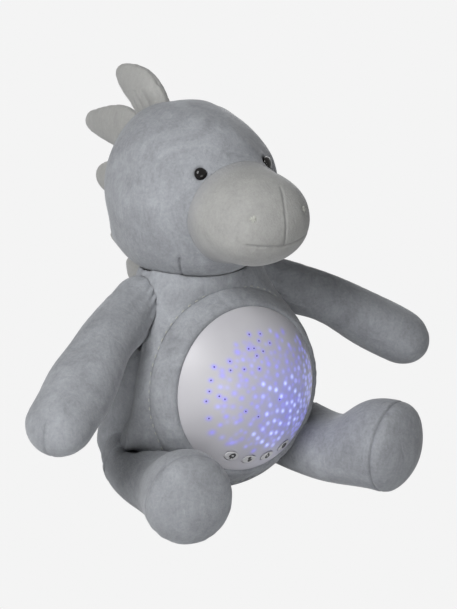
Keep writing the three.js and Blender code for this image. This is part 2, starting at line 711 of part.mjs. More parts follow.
function addPlushPieces() {
  const floor = floorSlab();
  const head = headForm(GAP);
  const neckBowl = headForm(SOCKET_GAP);
  const belly = join(bellyForm(SOCKET_GAP), lampRoom(SOCKET_GAP, SOCKET_GAP));
  const splays = [0.5, 1].map((share) => LEG_LIMITS_DEG[1] * share);
  const limbs = Object.values(SIDES).flatMap((side) => [
    ...limbRoom(armForm, side, shoulder(side), armAxis(side), ARM_LIMITS_DEG),
    ...limbRoom(legForm, side, hip(side), legAxis(side), splays),
  ]);
  const haunches = Object.values(SIDES).map(haunch);
  const trunk = cut(join(torsoForm(), ...haunches), neckBowl, ...limbs);
  const loopRecess = stripPatch(-STRIP_THICK - GAP, OVERRUN, GAP);
  const torso = cut(join(trunk, bellyForm()), lampRoom(GAP, DOME_RISE + OVERRUN), loopRecess, floor);
  addPiece(plushLight, 'torso', torso, 'plush');

  const pockets = Object.values(SIDES).map(eyePocket);
  addPiece(plushLight, 'head', cut(headForm(), ...pockets), 'plush');
  addPiece(plushLight, 'muzzle', cut(muzzleForm(), head), 'pale_plush');
  const nape = swung(torsoForm(SOCKET_GAP), headCentre, vec(1, 0, 0), -NOD_LIMITS_DEG[0]);
  headSpikes().forEach((spike, i) => {
    addPiece(plushLight, `head_spike_${i + 1}`, cut(spike, head, nape), 'pale_plush');
  });
  const trunkGrown = torsoForm(GAP);
  addPiece(plushLight, 'back_spike', cut(backSpike(), trunkGrown), 'pale_plush');
  addPiece(plushLight, 'tail_spike', cut(tailSpike(), trunkGrown, tailForm(GAP)), 'pale_plush');
  addPiece(plushLight, 'tail', cut(tailForm(), trunkGrown, floor), 'plush');

  Object.entries(SIDES).forEach(([name, side]) => {
    addPiece(plushLight, `arm_${name}`, armForm(side), 'plush');
    const bellyTurns = [0, ...splays].map((degrees) => swung(belly, hip(side), legAxis(side), -degrees));
    addPiece(plushLight, `leg_${name}`, cut(legForm(side), ...bellyTurns, floor), 'plush');
    addPiece(plushLight, `sole_${name}`, cut(soleForm(side), floor), 'plush');
    addEye(name, side);
  });

  const flap = backPatch(GAP, GAP + FLAP_THICK, FLAP_WIDTH / 2, flapLow, flapHigh, FLAP_CORNER);
  const hookRecess = stripPatch(0, GAP * 2 + STRIP_THICK, GAP);
  addPiece(plushLight, 'rear_flap', cut(flap, hookRecess), 'plush');
  addPiece(plushLight, 'flap_hook_strip', stripPatch(GAP, GAP + STRIP_THICK, 0), 'loop_tape');
  addPiece(plushLight, 'torso_loop_strip', stripPatch(-STRIP_THICK, 0, 0), 'loop_tape');
}

// Star lamp: dome, bezel and housing

const domeSphereRadius = (domeRadius ** 2 + DOME_RISE ** 2) / (2 * DOME_RISE);
const domeSphereDrop = domeSphereRadius - DOME_RISE;

// Points of a cap of the dome's sphere, from its rim radius to the axis
function capPoints(rimRadius, offset) {
  const sphere = domeSphereRadius + offset;
  const half = Math.asin(rimRadius / sphere);
  return Array.from({ length: DOME_STEPS + 1 }, (_, i) => {
    const angle = half * (1 - i / DOME_STEPS);
    return [sphere * Math.sin(angle), sphere * Math.cos(angle) - domeSphereDrop];
  });
}

const buttonTurns = [-1.5, -0.5, 0.5, 1.5].map((step) => radians(step * BUTTON_PITCH_DEG - 90));

// An oval column at a button's place, long side along the rim
function buttonColumn(turn, grow, from, to) {
  const [long, wide] = [BUTTON_HALF_LENGTH + grow, BUTTON_HALF_WIDTH + grow];
  return new THREE.CylinderGeometry(1, 1, to - from, SMALL_SIDES + 2)
    .rotateX(Math.PI / 2).scale(wide, long, 1).translate(buttonRing, 0, (from + to) / 2)
    .rotateZ(turn);
}

function addDome() {
  const outer = [[domeRadius, skirtEnd], ...capPoints(domeRadius, 0)];
  const innerRim = domeRadius - DOME_WALL;
  const inner = [...capPoints(innerRim, -DOME_WALL).reverse(), [innerRim, skirtEnd]];
  const shell = solidOf(turned([...outer, ...inner]));
  const holes = buttonTurns.map((turn) => solidOf(buttonColumn(turn, GAP, skirtEnd, DOME_RISE)));
  addPiece(lampFrame, 'dome_lens', cut(shell, ...holes), 'dome_white');

  const chamfer = BEZEL_SINK;
  addPiece(lampFrame, 'bezel_ring', turned([
    [bezelInner, deckUnder],
    [bezelOuter, deckUnder],
    [bezelOuter, -BEZEL_SINK - chamfer],
    [bezelOuter - chamfer, -BEZEL_SINK],
    [bezelInner, -BEZEL_SINK],
  ]), 'bezel_grey');
}

// Screw posts stand clear of the battery tray, the speaker and the buttons
const postTurns = [20, 160, 210, 330].map(radians);
const onPost = (turn, geometry) => geometry.translate(postRing, 0, 0).rotateZ(turn);

function screw(headUnder) {
  return turned([
    [0, headUnder - SCREW_LENGTH],
    [SCREW_RADIUS, headUnder - SCREW_LENGTH],
    [SCREW_RADIUS, headUnder],
    [SCREW_HEAD_RADIUS, headUnder],
    [SCREW_HEAD_RADIUS, headUnder + SCREW_HEAD_HEIGHT * 0.6],
    [SCREW_HEAD_RADIUS * 0.6, headUnder + SCREW_HEAD_HEIGHT],
    [0, headUnder + SCREW_HEAD_HEIGHT],
  ], SMALL_SIDES);
}

function addDeck() {
  const hole = SCREW_RADIUS + GAP;
  const plate = solidOf(rod(domeRadius, deckUnder, deckTop, ROUND_SIDES));
  const through = [deckUnder - OVERRUN, deckTop + OVERRUN];
  const deck = cut(
    plate,
    solidOf(rod(REFLECTOR_RADIUS + GAP * 2, ...through, ROUND_SIDES)),
    ...buttonTurns.map((turn) => solidOf(buttonColumn(turn, GAP, ...through))),
    ...postTurns.map((turn) => solidOf(onPost(turn, rod(hole, ...through)))),
  );
  addPiece(lampFrame, 'inner_deck', deck, 'white_plastic');
  postTurns.forEach((turn, i) => {
    addPiece(lampFrame, `housing_screw_${i + 1}`, onPost(turn, screw(deckTop + GAP)), 'steel');
  });

  const seat = deckTop + GAP;
  const lipOuter = REFLECTOR_RADIUS + REFLECTOR_LIP;
  addPiece(lampFrame, 'reflector', turned([
    [REFLECTOR_NECK, boardTop + GAP],
    [REFLECTOR_NECK + REFLECTOR_WALL, boardTop + GAP],
    [REFLECTOR_RADIUS, seat - DECK_THICK],
    [REFLECTOR_RADIUS, seat],
    [lipOuter, seat],
    [lipOuter, seat + REFLECTOR_WALL],
    [REFLECTOR_RADIUS - REFLECTOR_WALL, seat + REFLECTOR_WALL],
  ], 24), 'reflector_white');
}

// Battery tray, set into the rear wall below the speaker

const cellLevel = housingEnd + GAP * 2 + CELL_RADIUS;
const trayFloor = cellLevel + CELL_RADIUS + GAP;
const cellRows = [-1, 0, 1].map((row) => trayCentre + row * cellPitch);
const doorHalfLength = trayHalfLength + DOOR_MARGIN;
const doorHalfWidth = trayHalfWidth + DOOR_MARGIN;
const doorBossPlace = trayCentre - trayHalfWidth - TRAY_WALL - DOOR_BOSS_RADIUS * 0.8;

function trayBox(grow, from, to) {
  return block((trayHalfLength + grow) * 2, (trayHalfWidth + grow) * 2, from, to)
    .translate(0, trayCentre, 0);
}

// The contacts: a plate at each end of the tray over one cell or two, as the cells run in series
const contacts = [
  { rows: [0], end: 1, springs: [0] },
  { rows: [0, 1], end: -1, springs: [1] },
  { rows: [1, 2], end: 1, springs: [2] },
  { rows: [2], end: -1, springs: [] },
];
const withTab = (contact) => contact.rows.length === 1;

function contactTab(contact, grow) {
  const x = contact.end * contactPlace;
  return block(CONTACT_THICK + grow * 2, TAB_WIDTH + grow * 2, cellLevel, trayFloor + TRAY_WALL + TAB_LENGTH)
    .translate(x, cellRows[contact.rows[0]], 0);
}

function contactShape(contact) {
  const ys = contact.rows.map((row) => cellRows[row]);
  const x = contact.end * contactPlace;
  const half = CELL_RADIUS - GAP * 2;
  const [low, high] = [Math.min(...ys) - half, Math.max(...ys) + half];
  const plate = block(CONTACT_THICK, high - low, cellLevel - half, cellLevel + half)
    .translate(x, (low + high) / 2, 0);
  const springs = contact.springs.map((row) => contactSpring(x, contact.end, cellRows[row]));
  const tabs = withTab(contact) ? [solidOf(contactTab(contact, 0))] : [];
  return join(solidOf(plate), ...tabs, ...springs);
}

// A cone of wire that narrows from its plate towards the cell in three turns
function contactSpring(x, end, y) {
  const curls = 3;
  const steps = curls * 6;
  const route = Array.from({ length: steps + 1 }, (_, i) => {
    const share = i / steps;
    const turn = share * curls * Math.PI * 2;
    const radius = SPRING_RADIUS * (1 - share * 0.45);
    const rise = (SPRING_LENGTH - SPRING_WIRE * 2) * share;
    return vec(x - end * rise, y + Math.cos(turn) * radius, cellLevel + Math.sin(turn) * radius);
  });
  return solidOf(wire(route, SPRING_WIRE, steps, 4));
}

function addHousing() {
  const cup = solidOf(turned([
    [0, housingEnd],
    [domeRadius - HOUSING_ROUND, housingEnd],
    [domeRadius, housingEnd + HOUSING_ROUND],
    [domeRadius, flangeUnder],
    [bezelOuter, flangeUnder],
    [bezelOuter, housingTop],
    [domeRadius - HOUSING_WALL, housingTop],
    [domeRadius - HOUSING_WALL, rearInside + HOUSING_ROUND - HOUSING_WALL],
    [domeRadius - HOUSING_ROUND, rearInside],
    [0, rearInside],
  ]));
  const inWall = housingEnd + HOUSING_WALL / 2;
  const posts = postTurns.flatMap((turn) => [
    solidOf(onPost(turn, rod(POST_RADIUS, inWall, boardUnder - GAP))),
    solidOf(onPost(turn, rod(POST_TIP_RADIUS, inWall, housingTop))),
  ]);
  const boss = rod(DOOR_BOSS_RADIUS, inWall, rearInside + SCREW_LENGTH).translate(0, doorBossPlace, 0);
  const bores = postTurns.map((turn) => {
    const foot = deckTop - SCREW_LENGTH - GAP;
    return solidOf(onPost(turn, rod(SCREW_RADIUS + GAP, foot, housingTop + OVERRUN)));
  });
  const doorBore = rod(SCREW_RADIUS + GAP, housingEnd - OVERRUN, doorOuter + SCREW_LENGTH + GAP)
    .translate(0, doorBossPlace, 0);
  const around = (i) => (i / GRILLE_RING_HOLES) * Math.PI * 2;
  const ringHoles = Array.from({ length: GRILLE_RING_HOLES }, (_, i) => [
    Math.cos(around(i)), Math.sin(around(i))]);
  const grille = [[0, 0], ...ringHoles].map(([x, y]) => {
    const ring = SPEAKER_RADIUS * 0.42;
    const hole = rod(GRILLE_HOLE_RADIUS, housingEnd - OVERRUN, rearInside + GAP, 8);
    return solidOf(hole.translate(x * ring, SPEAKER_UP + y * ring, 0));
  });
  const slots = contacts.filter(withTab).map((contact) => solidOf(contactTab(contact, GAP)));
  const housing = cut(
    join(cup, solidOf(trayBox(TRAY_WALL, inWall, trayFloor + TRAY_WALL)), ...posts, solidOf(boss)),
    solidOf(trayBox(0, housingEnd - OVERRUN, trayFloor)),
    ...slots, ...bores, solidOf(doorBore), ...grille,
  );
  addPiece(lampFrame, 'rear_housing', housing, 'white_plastic');
}

function addBatteryDoor() {
  const plate = roundedPlate(doorHalfLength, doorHalfWidth, DOOR_MARGIN, doorOuter, doorInner)
    .translate(0, trayCentre, 0);
  const ear = rod(DOOR_BOSS_RADIUS, doorOuter, doorInner, EYE_SIDES).translate(0, doorBossPlace, 0);
  const hole = rod(SCREW_RADIUS + GAP, doorOuter - OVERRUN, doorInner + OVERRUN)
    .translate(0, doorBossPlace, 0);
  const door = cut(join(solidOf(plate), solidOf(ear)), solidOf(hole));
  addPiece(lampFrame, 'battery_door', door, 'white_plastic');
  const doorScrew = screw(0).rotateY(Math.PI).translate(0, doorBossPlace, doorOuter - GAP);
  addPiece(lampFrame, 'door_screw', doorScrew, 'steel');
}

function addCells() {
  cellRows.forEach((y, row) => {
    const towards = row % 2 ? 1 : -1;
    const base = -(CELL_LENGTH + CELL_NUB_LENGTH) / 2 + SPRING_LENGTH / 2;
    const cell = turned([
      [0, base],
      [CELL_RADIUS, base],
      [CELL_RADIUS, base + CELL_LENGTH],
      [CELL_NUB_RADIUS, base + CELL_LENGTH],
      [CELL_NUB_RADIUS, base + CELL_LENGTH + CELL_NUB_LENGTH],
      [0, base + CELL_LENGTH + CELL_NUB_LENGTH],
    ], 18);
    cell.rotateY((towards * Math.PI) / 2).translate(0, y, cellLevel);
    addPiece(lampFrame, `battery_${row + 1}`, cell, 'cell_jacket');
  });
  contacts.forEach((contact, i) => {
    addPiece(lampFrame, `battery_contact_${i + 1}`, contactShape(contact), 'nickel');
  });
}

// Circuit board with its lights and switches, and the buttons over them

function addBoard() {
  const disc = solidOf(rod(boardRadius, boardUnder, boardTop, ROUND_SIDES));
  const holes = postTurns.map((turn) => {
    const hole = rod(POST_TIP_RADIUS + GAP, boardUnder - OVERRUN, boardTop + OVERRUN);
    return solidOf(onPost(turn, hole));
  });
  addPiece(lampFrame, 'control_board', cut(disc, ...holes), 'board_green');

  const foot = boardTop + GAP;
  [90, 210, 330].map(radians).forEach((turn, i) => {
    const led = turned([
      [0, foot],
      [LED_RADIUS, foot],
      [LED_RADIUS, foot + LED_HEIGHT - LED_RADIUS],
      [LED_RADIUS * 0.87, foot + LED_HEIGHT - LED_RADIUS * 0.5],
      [LED_RADIUS * 0.5, foot + LED_HEIGHT - LED_RADIUS * 0.13],
      [0, foot + LED_HEIGHT],
    ], SMALL_SIDES);
    addPiece(lampFrame, `led_${i + 1}`, led.translate(LED_RING, 0, 0).rotateZ(turn), 'led_clear');
  });

  const plungerTop = foot + SWITCH_HEIGHT + PLUNGER_HEIGHT;
  buttonTurns.forEach((turn, i) => {
    const onRing = (geometry) => solidOf(geometry.translate(buttonRing, 0, 0).rotateZ(turn));
    const body = onRing(block(SWITCH_SIDE, SWITCH_SIDE, foot, foot + SWITCH_HEIGHT));
    const plunger = onRing(rod(PLUNGER_RADIUS, foot + SWITCH_HEIGHT / 2, plungerTop));
    addPiece(lampFrame, `tact_switch_${i + 1}`, join(body, plunger), 'switch_black');

    const crown = turned([
      [0, skirtEnd * 4],
      [domeRadius, skirtEnd * 4],
      ...capPoints(domeRadius, BUTTON_PROUD),
    ]);
    const bottom = plungerTop + BUTTON_TRAVEL + GAP / 2;
    const column = solidOf(buttonColumn(turn, 0, bottom, DOME_RISE));
    addPiece(lampFrame, `button_${i + 1}`, column.intersect(solidOf(crown)), 'white_plastic');
  });
}

// Speaker behind its grille in the rear wall

function addSpeaker() {
  const seat = rearInside + GAP;
  const lip = SPEAKER_DEPTH * 0.24;
  const [neck, wide] = [SPEAKER_RADIUS * 0.52, SPEAKER_RADIUS * 0.82];
  const top = seat + SPEAKER_DEPTH;
  const place = (geometry) => geometry.translate(0, SPEAKER_UP, 0);
  addPiece(lampFrame, 'speaker_basket', place(turned([
    [wide + GAP, seat],
    [SPEAKER_RADIUS, seat],
    [SPEAKER_RADIUS, seat + lip],
    [SPEAKER_RADIUS * 0.9, seat + lip],
    [SPEAKER_RADIUS * 0.64, top],
    [neck, top],
    [neck, top - lip * 0.7],
    [wide - GAP, seat + lip],
  ], SPEAKER_SIDES)), 'steel');
  const shift = GAP * 1.6;
  addPiece(lampFrame, 'speaker_cone', place(turned([
    [0, top - lip * 0.7],
    [neck - shift, top - lip * 0.7],
    [wide - shift - GAP, seat + lip],
    [wide - shift, seat + GAP],
    [wide - shift * 3, seat + GAP],
    [neck - shift * 2, top - lip * 1.3],
    [0, top - lip * 1.3],
  ], SPEAKER_SIDES)), 'cone_paper');
  const magnet = rod(MAGNET_RADIUS, top + GAP, top + GAP + MAGNET_HEIGHT, SPEAKER_SIDES);
  addPiece(lampFrame, 'speaker_magnet', place(magnet), 'steel');
}

// Leads run up to the underside of the board from the speaker and the end contacts

function addLeads() {
  const end = boardUnder - GAP;
  const addLead = (name, start, finish, materialName) => {
    const half = (start.z + end) / 2;
    const route = [
      start,
      vec(start.x, start.y, start.z + LEAD_RADIUS * 2),
      vec((start.x + finish.x) / 2, (start.y + finish.y) / 2, half),
      vec(finish.x, finish.y, end - LEAD_RADIUS * 2),
      vec(finish.x, finish.y, end),
    ];
    addPiece(lampFrame, name, wire(route, LEAD_RADIUS, 9, 6), materialName);
  };
  contacts.filter(withTab).forEach((contact, i) => {
    const x = contact.end * contactPlace;
    const y = cellRows[contact.rows[0]];
    const start = vec(x, y, trayFloor + TRAY_WALL + TAB_LENGTH + GAP);
    const finish = vec(x * 0.6, y * 0.5, end);
    addLead(`battery_lead_${i + 1}`, start, finish, i ? 'lead_black' : 'lead_red');
  });
  const magnetTop = rearInside + GAP * 2 + SPEAKER_DEPTH + MAGNET_HEIGHT;
  const start = vec(0, SPEAKER_UP, magnetTop + GAP);
  addLead('speaker_lead', start, vec(LED_RING * 2, SPEAKER_UP * 0.7, end), 'lead_black');
}

addPlushPieces();
addDome();
addDeck();
addHousing();
addBatteryDoor();
addCells();
addBoard();
addSpeaker();
addLeads();

export default plushLight;
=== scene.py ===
import math

import bpy
import numpy as np
from mathutils import Matrix, Vector, bvhtree


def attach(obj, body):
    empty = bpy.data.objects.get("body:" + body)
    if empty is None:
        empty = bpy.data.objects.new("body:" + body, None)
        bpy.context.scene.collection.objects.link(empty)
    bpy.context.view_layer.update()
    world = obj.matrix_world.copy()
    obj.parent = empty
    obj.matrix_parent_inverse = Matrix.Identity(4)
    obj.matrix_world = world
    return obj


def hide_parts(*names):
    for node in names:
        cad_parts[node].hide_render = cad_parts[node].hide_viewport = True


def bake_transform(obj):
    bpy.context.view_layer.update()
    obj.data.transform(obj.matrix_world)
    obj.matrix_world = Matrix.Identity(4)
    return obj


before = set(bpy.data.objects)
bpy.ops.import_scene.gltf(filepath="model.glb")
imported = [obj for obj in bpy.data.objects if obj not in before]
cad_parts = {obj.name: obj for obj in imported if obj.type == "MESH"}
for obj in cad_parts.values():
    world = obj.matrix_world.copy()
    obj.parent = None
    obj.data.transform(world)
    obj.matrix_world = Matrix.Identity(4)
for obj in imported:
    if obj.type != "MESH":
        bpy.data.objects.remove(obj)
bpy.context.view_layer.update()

# Body: a bag of short-pile plush sewn from curved panels and stuffed with fibre. The belly swells
# round the lamp, and the neck, the limb sockets and the lamp's room are pulled in by their seams.

MM = 0.001
FLOOR_CUT = 0.5
SIDES = ((1, "left"), (-1, "right"))
TORSO_HEIGHT, TORSO_HALF_WIDTH, TORSO_HALF_DEPTH = 150.01, 63.0, 55.0
TORSO_CAPS = (28.0, 12.0)
TORSO_SHARES = [
    (0, 0.067, 0.81, 0.82), (0.2, 0.013, 1, 1), (0.5, 0, 0.96, 0.95),
    (0.77, 0.05, 0.77, 0.76), (1, 0.093, 0.57, 0.57),
]
HEAD_CENTRE = np.array([0, 12.5, 176.01])
HEAD_RADIUS, HEAD_HALF_WIDTH, CHEEK_FULL, CROWN_LEAN, BROW_FULL = 54.5, 51.5, 4.4, 6.0, 3.0
LAMP_PLACE = np.array([0, -45, 67.505])
LAMP_TILT, LAMP_ROLL = math.radians(82), math.radians(-4)
DOME_RADIUS, HEM_OUTER = 49.005, 58.2
BELLY_PROFILE = [(52.0, -1.9), (54.0, -4.4), (56.0, -7.3), (57.8, -10.4), (59.4, -13.6), (61.0, -17.5),
                 (62.2, -22.0), (62.8, -28.0), (62.0, -34.0), (58.5, -40.0), (51.0, -44.0)]
BELLY_SIDE = 0.11
SHOULDER = np.array([42, 6, 116.01])
SHOULDER_RADIUS, ARM_REACH, ARM_BOW, ARM_WIDE, ARM_HIGH = 18.0, 100.0, 4.0, 19.0, 16.5
ARM_DROP, ARM_FORWARD = math.radians(23), math.radians(31)
ARM_LENGTH_SHARE = {1: 1.0, -1: 1.05}
ARM_ROOT_SHARE, ARM_CAP_RINGS, ARM_SIDES = 0.92, 12, 56
HIP = np.array([43, 2, 21.5])
HIP_RADIUS, ANKLE_RADIUS, FOOT_RADIUS, FOOT_CAP, HAUNCH_RADIUS = 22.0, 22.0, 28.0, 13.0, 28.0
HAUNCH_FULL, THIGH_FULL, FOOT_FULL, ANKLE_FULL = 2.5, 8.0, {1: 1.05, -1: 1.0}, {1: 1.2, -1: 1.0}
ANKLE_SHIFT = {1: np.array([-4.5, -7.5, 0]), -1: np.array([1.8, 0, 0])}
FOOT_SHIFT = {1: np.array([-1.5, -2.5, 0]), -1: np.array([3.6, 0, 0])}
HAND_DROP, ARM_RISE = {1: 4.0, -1: 0.0}, {1: 0.0, -1: 2.5}
LEG_REACH = {1: 113.0, -1: 102.83}
LEG_SPLAY = math.radians(18)
LAMP_DEEP, HEM_DEEP, LAMP_OPEN = 51.0, 14.5, 40.0
SEAM_IN, HEAD_SEAT, LIMB_SEAT, LAMP_GAP, SEWN_NEAR = 0.6, 1.2, 1.6, 0.3, 3.0
NAPE_START, NAPE_DRAW = 106, 0.14
FLAP_MIDDLE = 69
TORSO_NET_FIRST, TORSO_NET, TORSO_SWELL = 3.2, 3.0, 3.0


def curve_points(knots, t):
    """Points of a centripetal Catmull-Rom curve through the knots, t from 0 to 1."""
    knots = np.asarray(knots, float)
    last = len(knots) - 1
    ends = np.vstack([2 * knots[0] - knots[1], knots, 2 * knots[-1] - knots[-2]])
    span = np.clip((t * last).astype(int), 0, last - 1)
    share = (t * last - span)[:, None]
    p0, p1, p2, p3 = (ends[span + k] for k in range(4))
    pace = [(((b - a) ** 2).sum(1) ** 0.25)[:, None] for a, b in ((p0, p1), (p1, p2), (p2, p3))]
    middle = np.where(pace[1] < 1e-4, 1, pace[1])
    before, after = (np.where(p < 1e-4, middle, p) for p in (pace[0], pace[2]))
    leave = (p1 - p0) / before - (p2 - p0) / (before + middle) + (p2 - p1) / middle
    arrive = (p2 - p1) / middle - (p3 - p1) / (middle + after) + (p3 - p2) / after
    leave, arrive = leave * middle, arrive * middle
    return (p1 + leave * share + (3 * (p2 - p1) - 2 * leave - arrive) * share ** 2
            + (2 * (p1 - p2) + leave + arrive) * share ** 3)


def stuffed(stations, upward, caps, grow=0.0, rings=26, cap_rings=9, sides=64):
    """Oval rings along a smooth spine, closed by a rounded cap at each end."""
    places = [np.array(place, float) for place, _, _ in stations]
    for end, beside in ((0, 1), (-1, -2)):
        out = places[end] - places[beside]
        places[end] = places[end] + out / np.linalg.norm(out) * grow
    fine = np.linspace(0, 1, 401)
    steps = np.linalg.norm(np.diff(curve_points(places, fine), axis=0), axis=1)
    run = np.concatenate([[0], np.cumsum(steps)])
    length = run[-1]
    first, second = (cap + grow for cap in caps)
    stops = [(first * (1 - math.cos(a)), math.sin(a))
             for a in np.linspace(0, math.pi / 2, cap_rings + 1)[1:]]
    stops += [(first + (length - first - second) * i / rings, 1.0) for i in range(1, rings)]
    stops += [(length - second * (1 - math.cos(a)), math.sin(a))
              for a in np.linspace(math.pi / 2, 0, cap_rings + 1)[:-1]]
    along, fullness = (np.array(column) for column in zip(*stops))
    t = np.interp(along, run, fine)
    centre = curve_points(places, t)
    size = curve_points([(wide, high, 0) for _, wide, high in stations], t)
    after, before = (curve_points(places, np.clip(t + step, 0, 1)) for step in (1e-4, -1e-4))
    ahead = after - before
    across = np.cross(ahead, np.asarray(upward, float))
    across /= np.linalg.norm(across, axis=1)[:, None]
    up = np.cross(across, ahead)
    up /= np.linalg.norm(up, axis=1)[:, None]
    turn = np.linspace(0, 2 * math.pi, sides, endpoint=False)
    wide, high = ((size[:, k] + grow) * fullness for k in (0, 1))
    ring = (centre[:, None] + across[:, None] * (np.cos(turn)[None, :, None] * wide[:, None, None])
            + up[:, None] * (np.sin(turn)[None, :, None] * high[:, None, None]))
    points = np.vstack([places[0][None], ring.reshape(-1, 3), places[-1][None]])
    return points, ring_faces(len(stops), sides, len(points) - 1)


def ring_faces(count, sides, tip):
    """Faces of rings of points that follow a first pole and end at a last one."""
    faces = [(0, 1 + (k + 1) % sides, 1 + k) for k in range(sides)]
    for row in range(count - 1):
        low, high = 1 + row * sides, 1 + (row + 1) * sides
        faces += [(low + k, low + (k + 1) % sides, high + (k + 1) % sides, high + k)
                  for k in range(sides)]
    top = 1 + (count - 1) * sides
    return faces + [(tip, top + k, top + (k + 1) % sides) for k in range(sides)]


def turned(profile, sides=96):
    """A closed body of revolution round Z; the profile starts and ends on the axis."""
    turn = np.linspace(0, 2 * math.pi, sides, endpoint=False)
    inner = np.array(profile[1:-1], float)
    ring = np.stack([inner[:, :1] * np.cos(turn), inner[:, :1] * np.sin(turn),
                     np.repeat(inner[:, 1:], sides, 1)], axis=2)
    points = np.vstack([[(0, 0, profile[0][1])], ring.reshape(-1, 3), [(0, 0, profile[-1][1])]])
    return points, ring_faces(len(inner), sides, len(points) - 1)


def block(low, high):
    """A box between two corners."""
    points = np.array([[(low, high)[(i >> k) & 1][k] for k in range(3)] for i in range(8)], float)
    return points, [(0, 2, 3, 1), (4, 5, 7, 6), (0, 1, 5, 4), (2, 6, 7, 3), (0, 4, 6, 2), (1, 3, 7, 5)]


def lamp_turn():
    """The lamp's turn from its own frame, Z out of the belly, to the object's."""
    return np.array(Matrix.Rotation(LAMP_TILT, 3, "X") @ Matrix.Rotation(LAMP_ROLL, 3, "Z"))


def from_lamp(points):
    return np.asarray(points, float) @ lamp_turn().T + LAMP_PLACE


def to_lamp(points):
    return (np.asarray(points, float) - LAMP_PLACE) @ lamp_turn()


def add_mesh(name, form):
    """A mesh object from points in millimetres, its faces turned outwards."""
    points, faces = form
    mesh = bpy.data.meshes.new(name)
    mesh.from_pydata((np.asarray(points) * MM).tolist(), [], [tuple(face) for face in faces])
    mesh.update()
    mesh.calc_loop_triangles()
    co, tri = np.empty(len(mesh.vertices) * 3), np.empty(len(mesh.loop_triangles) * 3, int)
    mesh.vertices.foreach_get("co", co)
    mesh.loop_triangles.foreach_get("vertices", tri)
    a, b, c = (co.reshape(-1, 3)[tri.reshape(-1, 3)[:, k]] for k in range(3))
    if (a * np.cross(b, c)).sum() < 0:
        mesh.flip_normals()
    piece = bpy.data.objects.new(name, mesh)
    bpy.context.scene.collection.objects.link(piece)
    return piece


def apply_modifiers(piece):
    """Turns what the modifiers make into the piece's own plain mesh."""
    made = bpy.data.meshes.new_from_object(piece.evaluated_get(bpy.context.evaluated_depsgraph_get()))
    old = piece.data
    piece.modifiers.clear()
    piece.data = made
    made.name = piece.name
    bpy.data.meshes.remove(old)
    made.polygons.foreach_set("use_smooth", np.ones(len(made.polygons), bool))


def combine(piece, form, operation="DIFFERENCE", less=None):
    """Cuts a form out of a piece, or joins it on. The form can be less another one."""
    tool = add_mesh("tool", form)
    if less is not None:
        combine(tool, less)
    work = piece.modifiers.new("shape", "BOOLEAN")
    work.solver, work.operation, work.object = "MANIFOLD", operation, tool
    apply_modifiers(piece)
    bpy.data.meshes.remove(tool.data)


def remesh(piece, voxel, smoothing=2):
    """Even quads all over, with the cut edges rounded as cloth rounds them."""
    net = piece.modifiers.new("net", "REMESH")
    net.mode, net.voxel_size, net.use_smooth_shade = "VOXEL", voxel * MM, True
    soften = piece.modifiers.new("soften", "SMOOTH")
    soften.factor, soften.iterations = 0.5, smoothing
    apply_modifiers(piece)


def points_of(piece, what="co"):
    values = np.empty(len(piece.data.vertices) * 3)
    piece.data.vertices.foreach_get(what, values)
    return values.reshape(-1, 3) / (MM if what == "co" else 1)


def set_points(piece, points):
    piece.data.vertices.foreach_set("co", (np.asarray(points) * MM).ravel())
    piece.data.update()


def push(piece, far):
    """Moves each point of a skin outwards, by its own distance."""
    set_points(piece, points_of(piece) + points_of(piece, "normal") * far[:, None])


def inflate(piece, held, swell, pressure=4.0, frames=20):
    """Stuffs a skin: cloth under pressure, pinned where held is 1, moved by the swell at most."""
    start = points_of(piece)
    pins = piece.vertex_groups.new(name="held")
    for level in range(11):
        chosen = np.nonzero(np.rint(held * 10).astype(int) == level)[0].tolist()
        if chosen and level:
            pins.add(chosen, level / 10, "REPLACE")
    cloth = piece.modifiers.new("stuffing", "CLOTH")
    settings = cloth.settings
    settings.quality, settings.mass = 4, 0.3
    settings.use_pressure, settings.uniform_pressure_force = True, pressure
    settings.effector_weights.gravity = 0
    settings.vertex_group_mass = "held"
    settings.tension_stiffness = settings.compression_stiffness = 12
    settings.shear_stiffness, settings.bending_stiffness = 4, 0.6
    settings.shrink_min = settings.shrink_max = -0.04
    cloth.collision_settings.use_collision = False
    cloth.point_cache.frame_start, cloth.point_cache.frame_end = 1, frames
    for number in range(1, frames + 1):
        bpy.context.scene.frame_set(number)
    skin = piece.evaluated_get(bpy.context.evaluated_depsgraph_get()).to_mesh()
    moved = np.empty(len(skin.vertices) * 3)
    skin.vertices.foreach_get("co", moved)
    shift = moved.reshape(-1, 3) / MM - start
    piece.modifiers.clear()
    bpy.context.scene.frame_set(1)
    far = np.linalg.norm(shift, axis=1)
    set_points(piece, start + shift * (swell * np.tanh(far / swell) / np.maximum(far, 1e-6))[:, None])
    piece.vertex_groups.clear()


def ease(piece, free, rounds):
    """Rounds off the creases where free is 1, which a stuffed skin can't hold."""
    edges = np.empty(len(piece.data.edges) * 2, int)
    piece.data.edges.foreach_get("vertices", edges)
    a, b = edges.reshape(-1, 2).T
    points = points_of(piece)
    count = np.bincount(np.r_[a, b], minlength=len(points))[:, None]
    for _ in range(rounds):
        total = np.stack([np.bincount(np.r_[a, b], np.r_[points[b, k], points[a, k]], len(points))
                          for k in range(3)], axis=1)
        points += (total / count - points) * (0.5 * np.asarray(free))[:, None]
    set_points(piece, points)


def refine(piece, levels):
    finer = piece.modifiers.new("finer", "SUBSURF")
    finer.levels = finer.render_levels = levels
    apply_modifiers(piece)


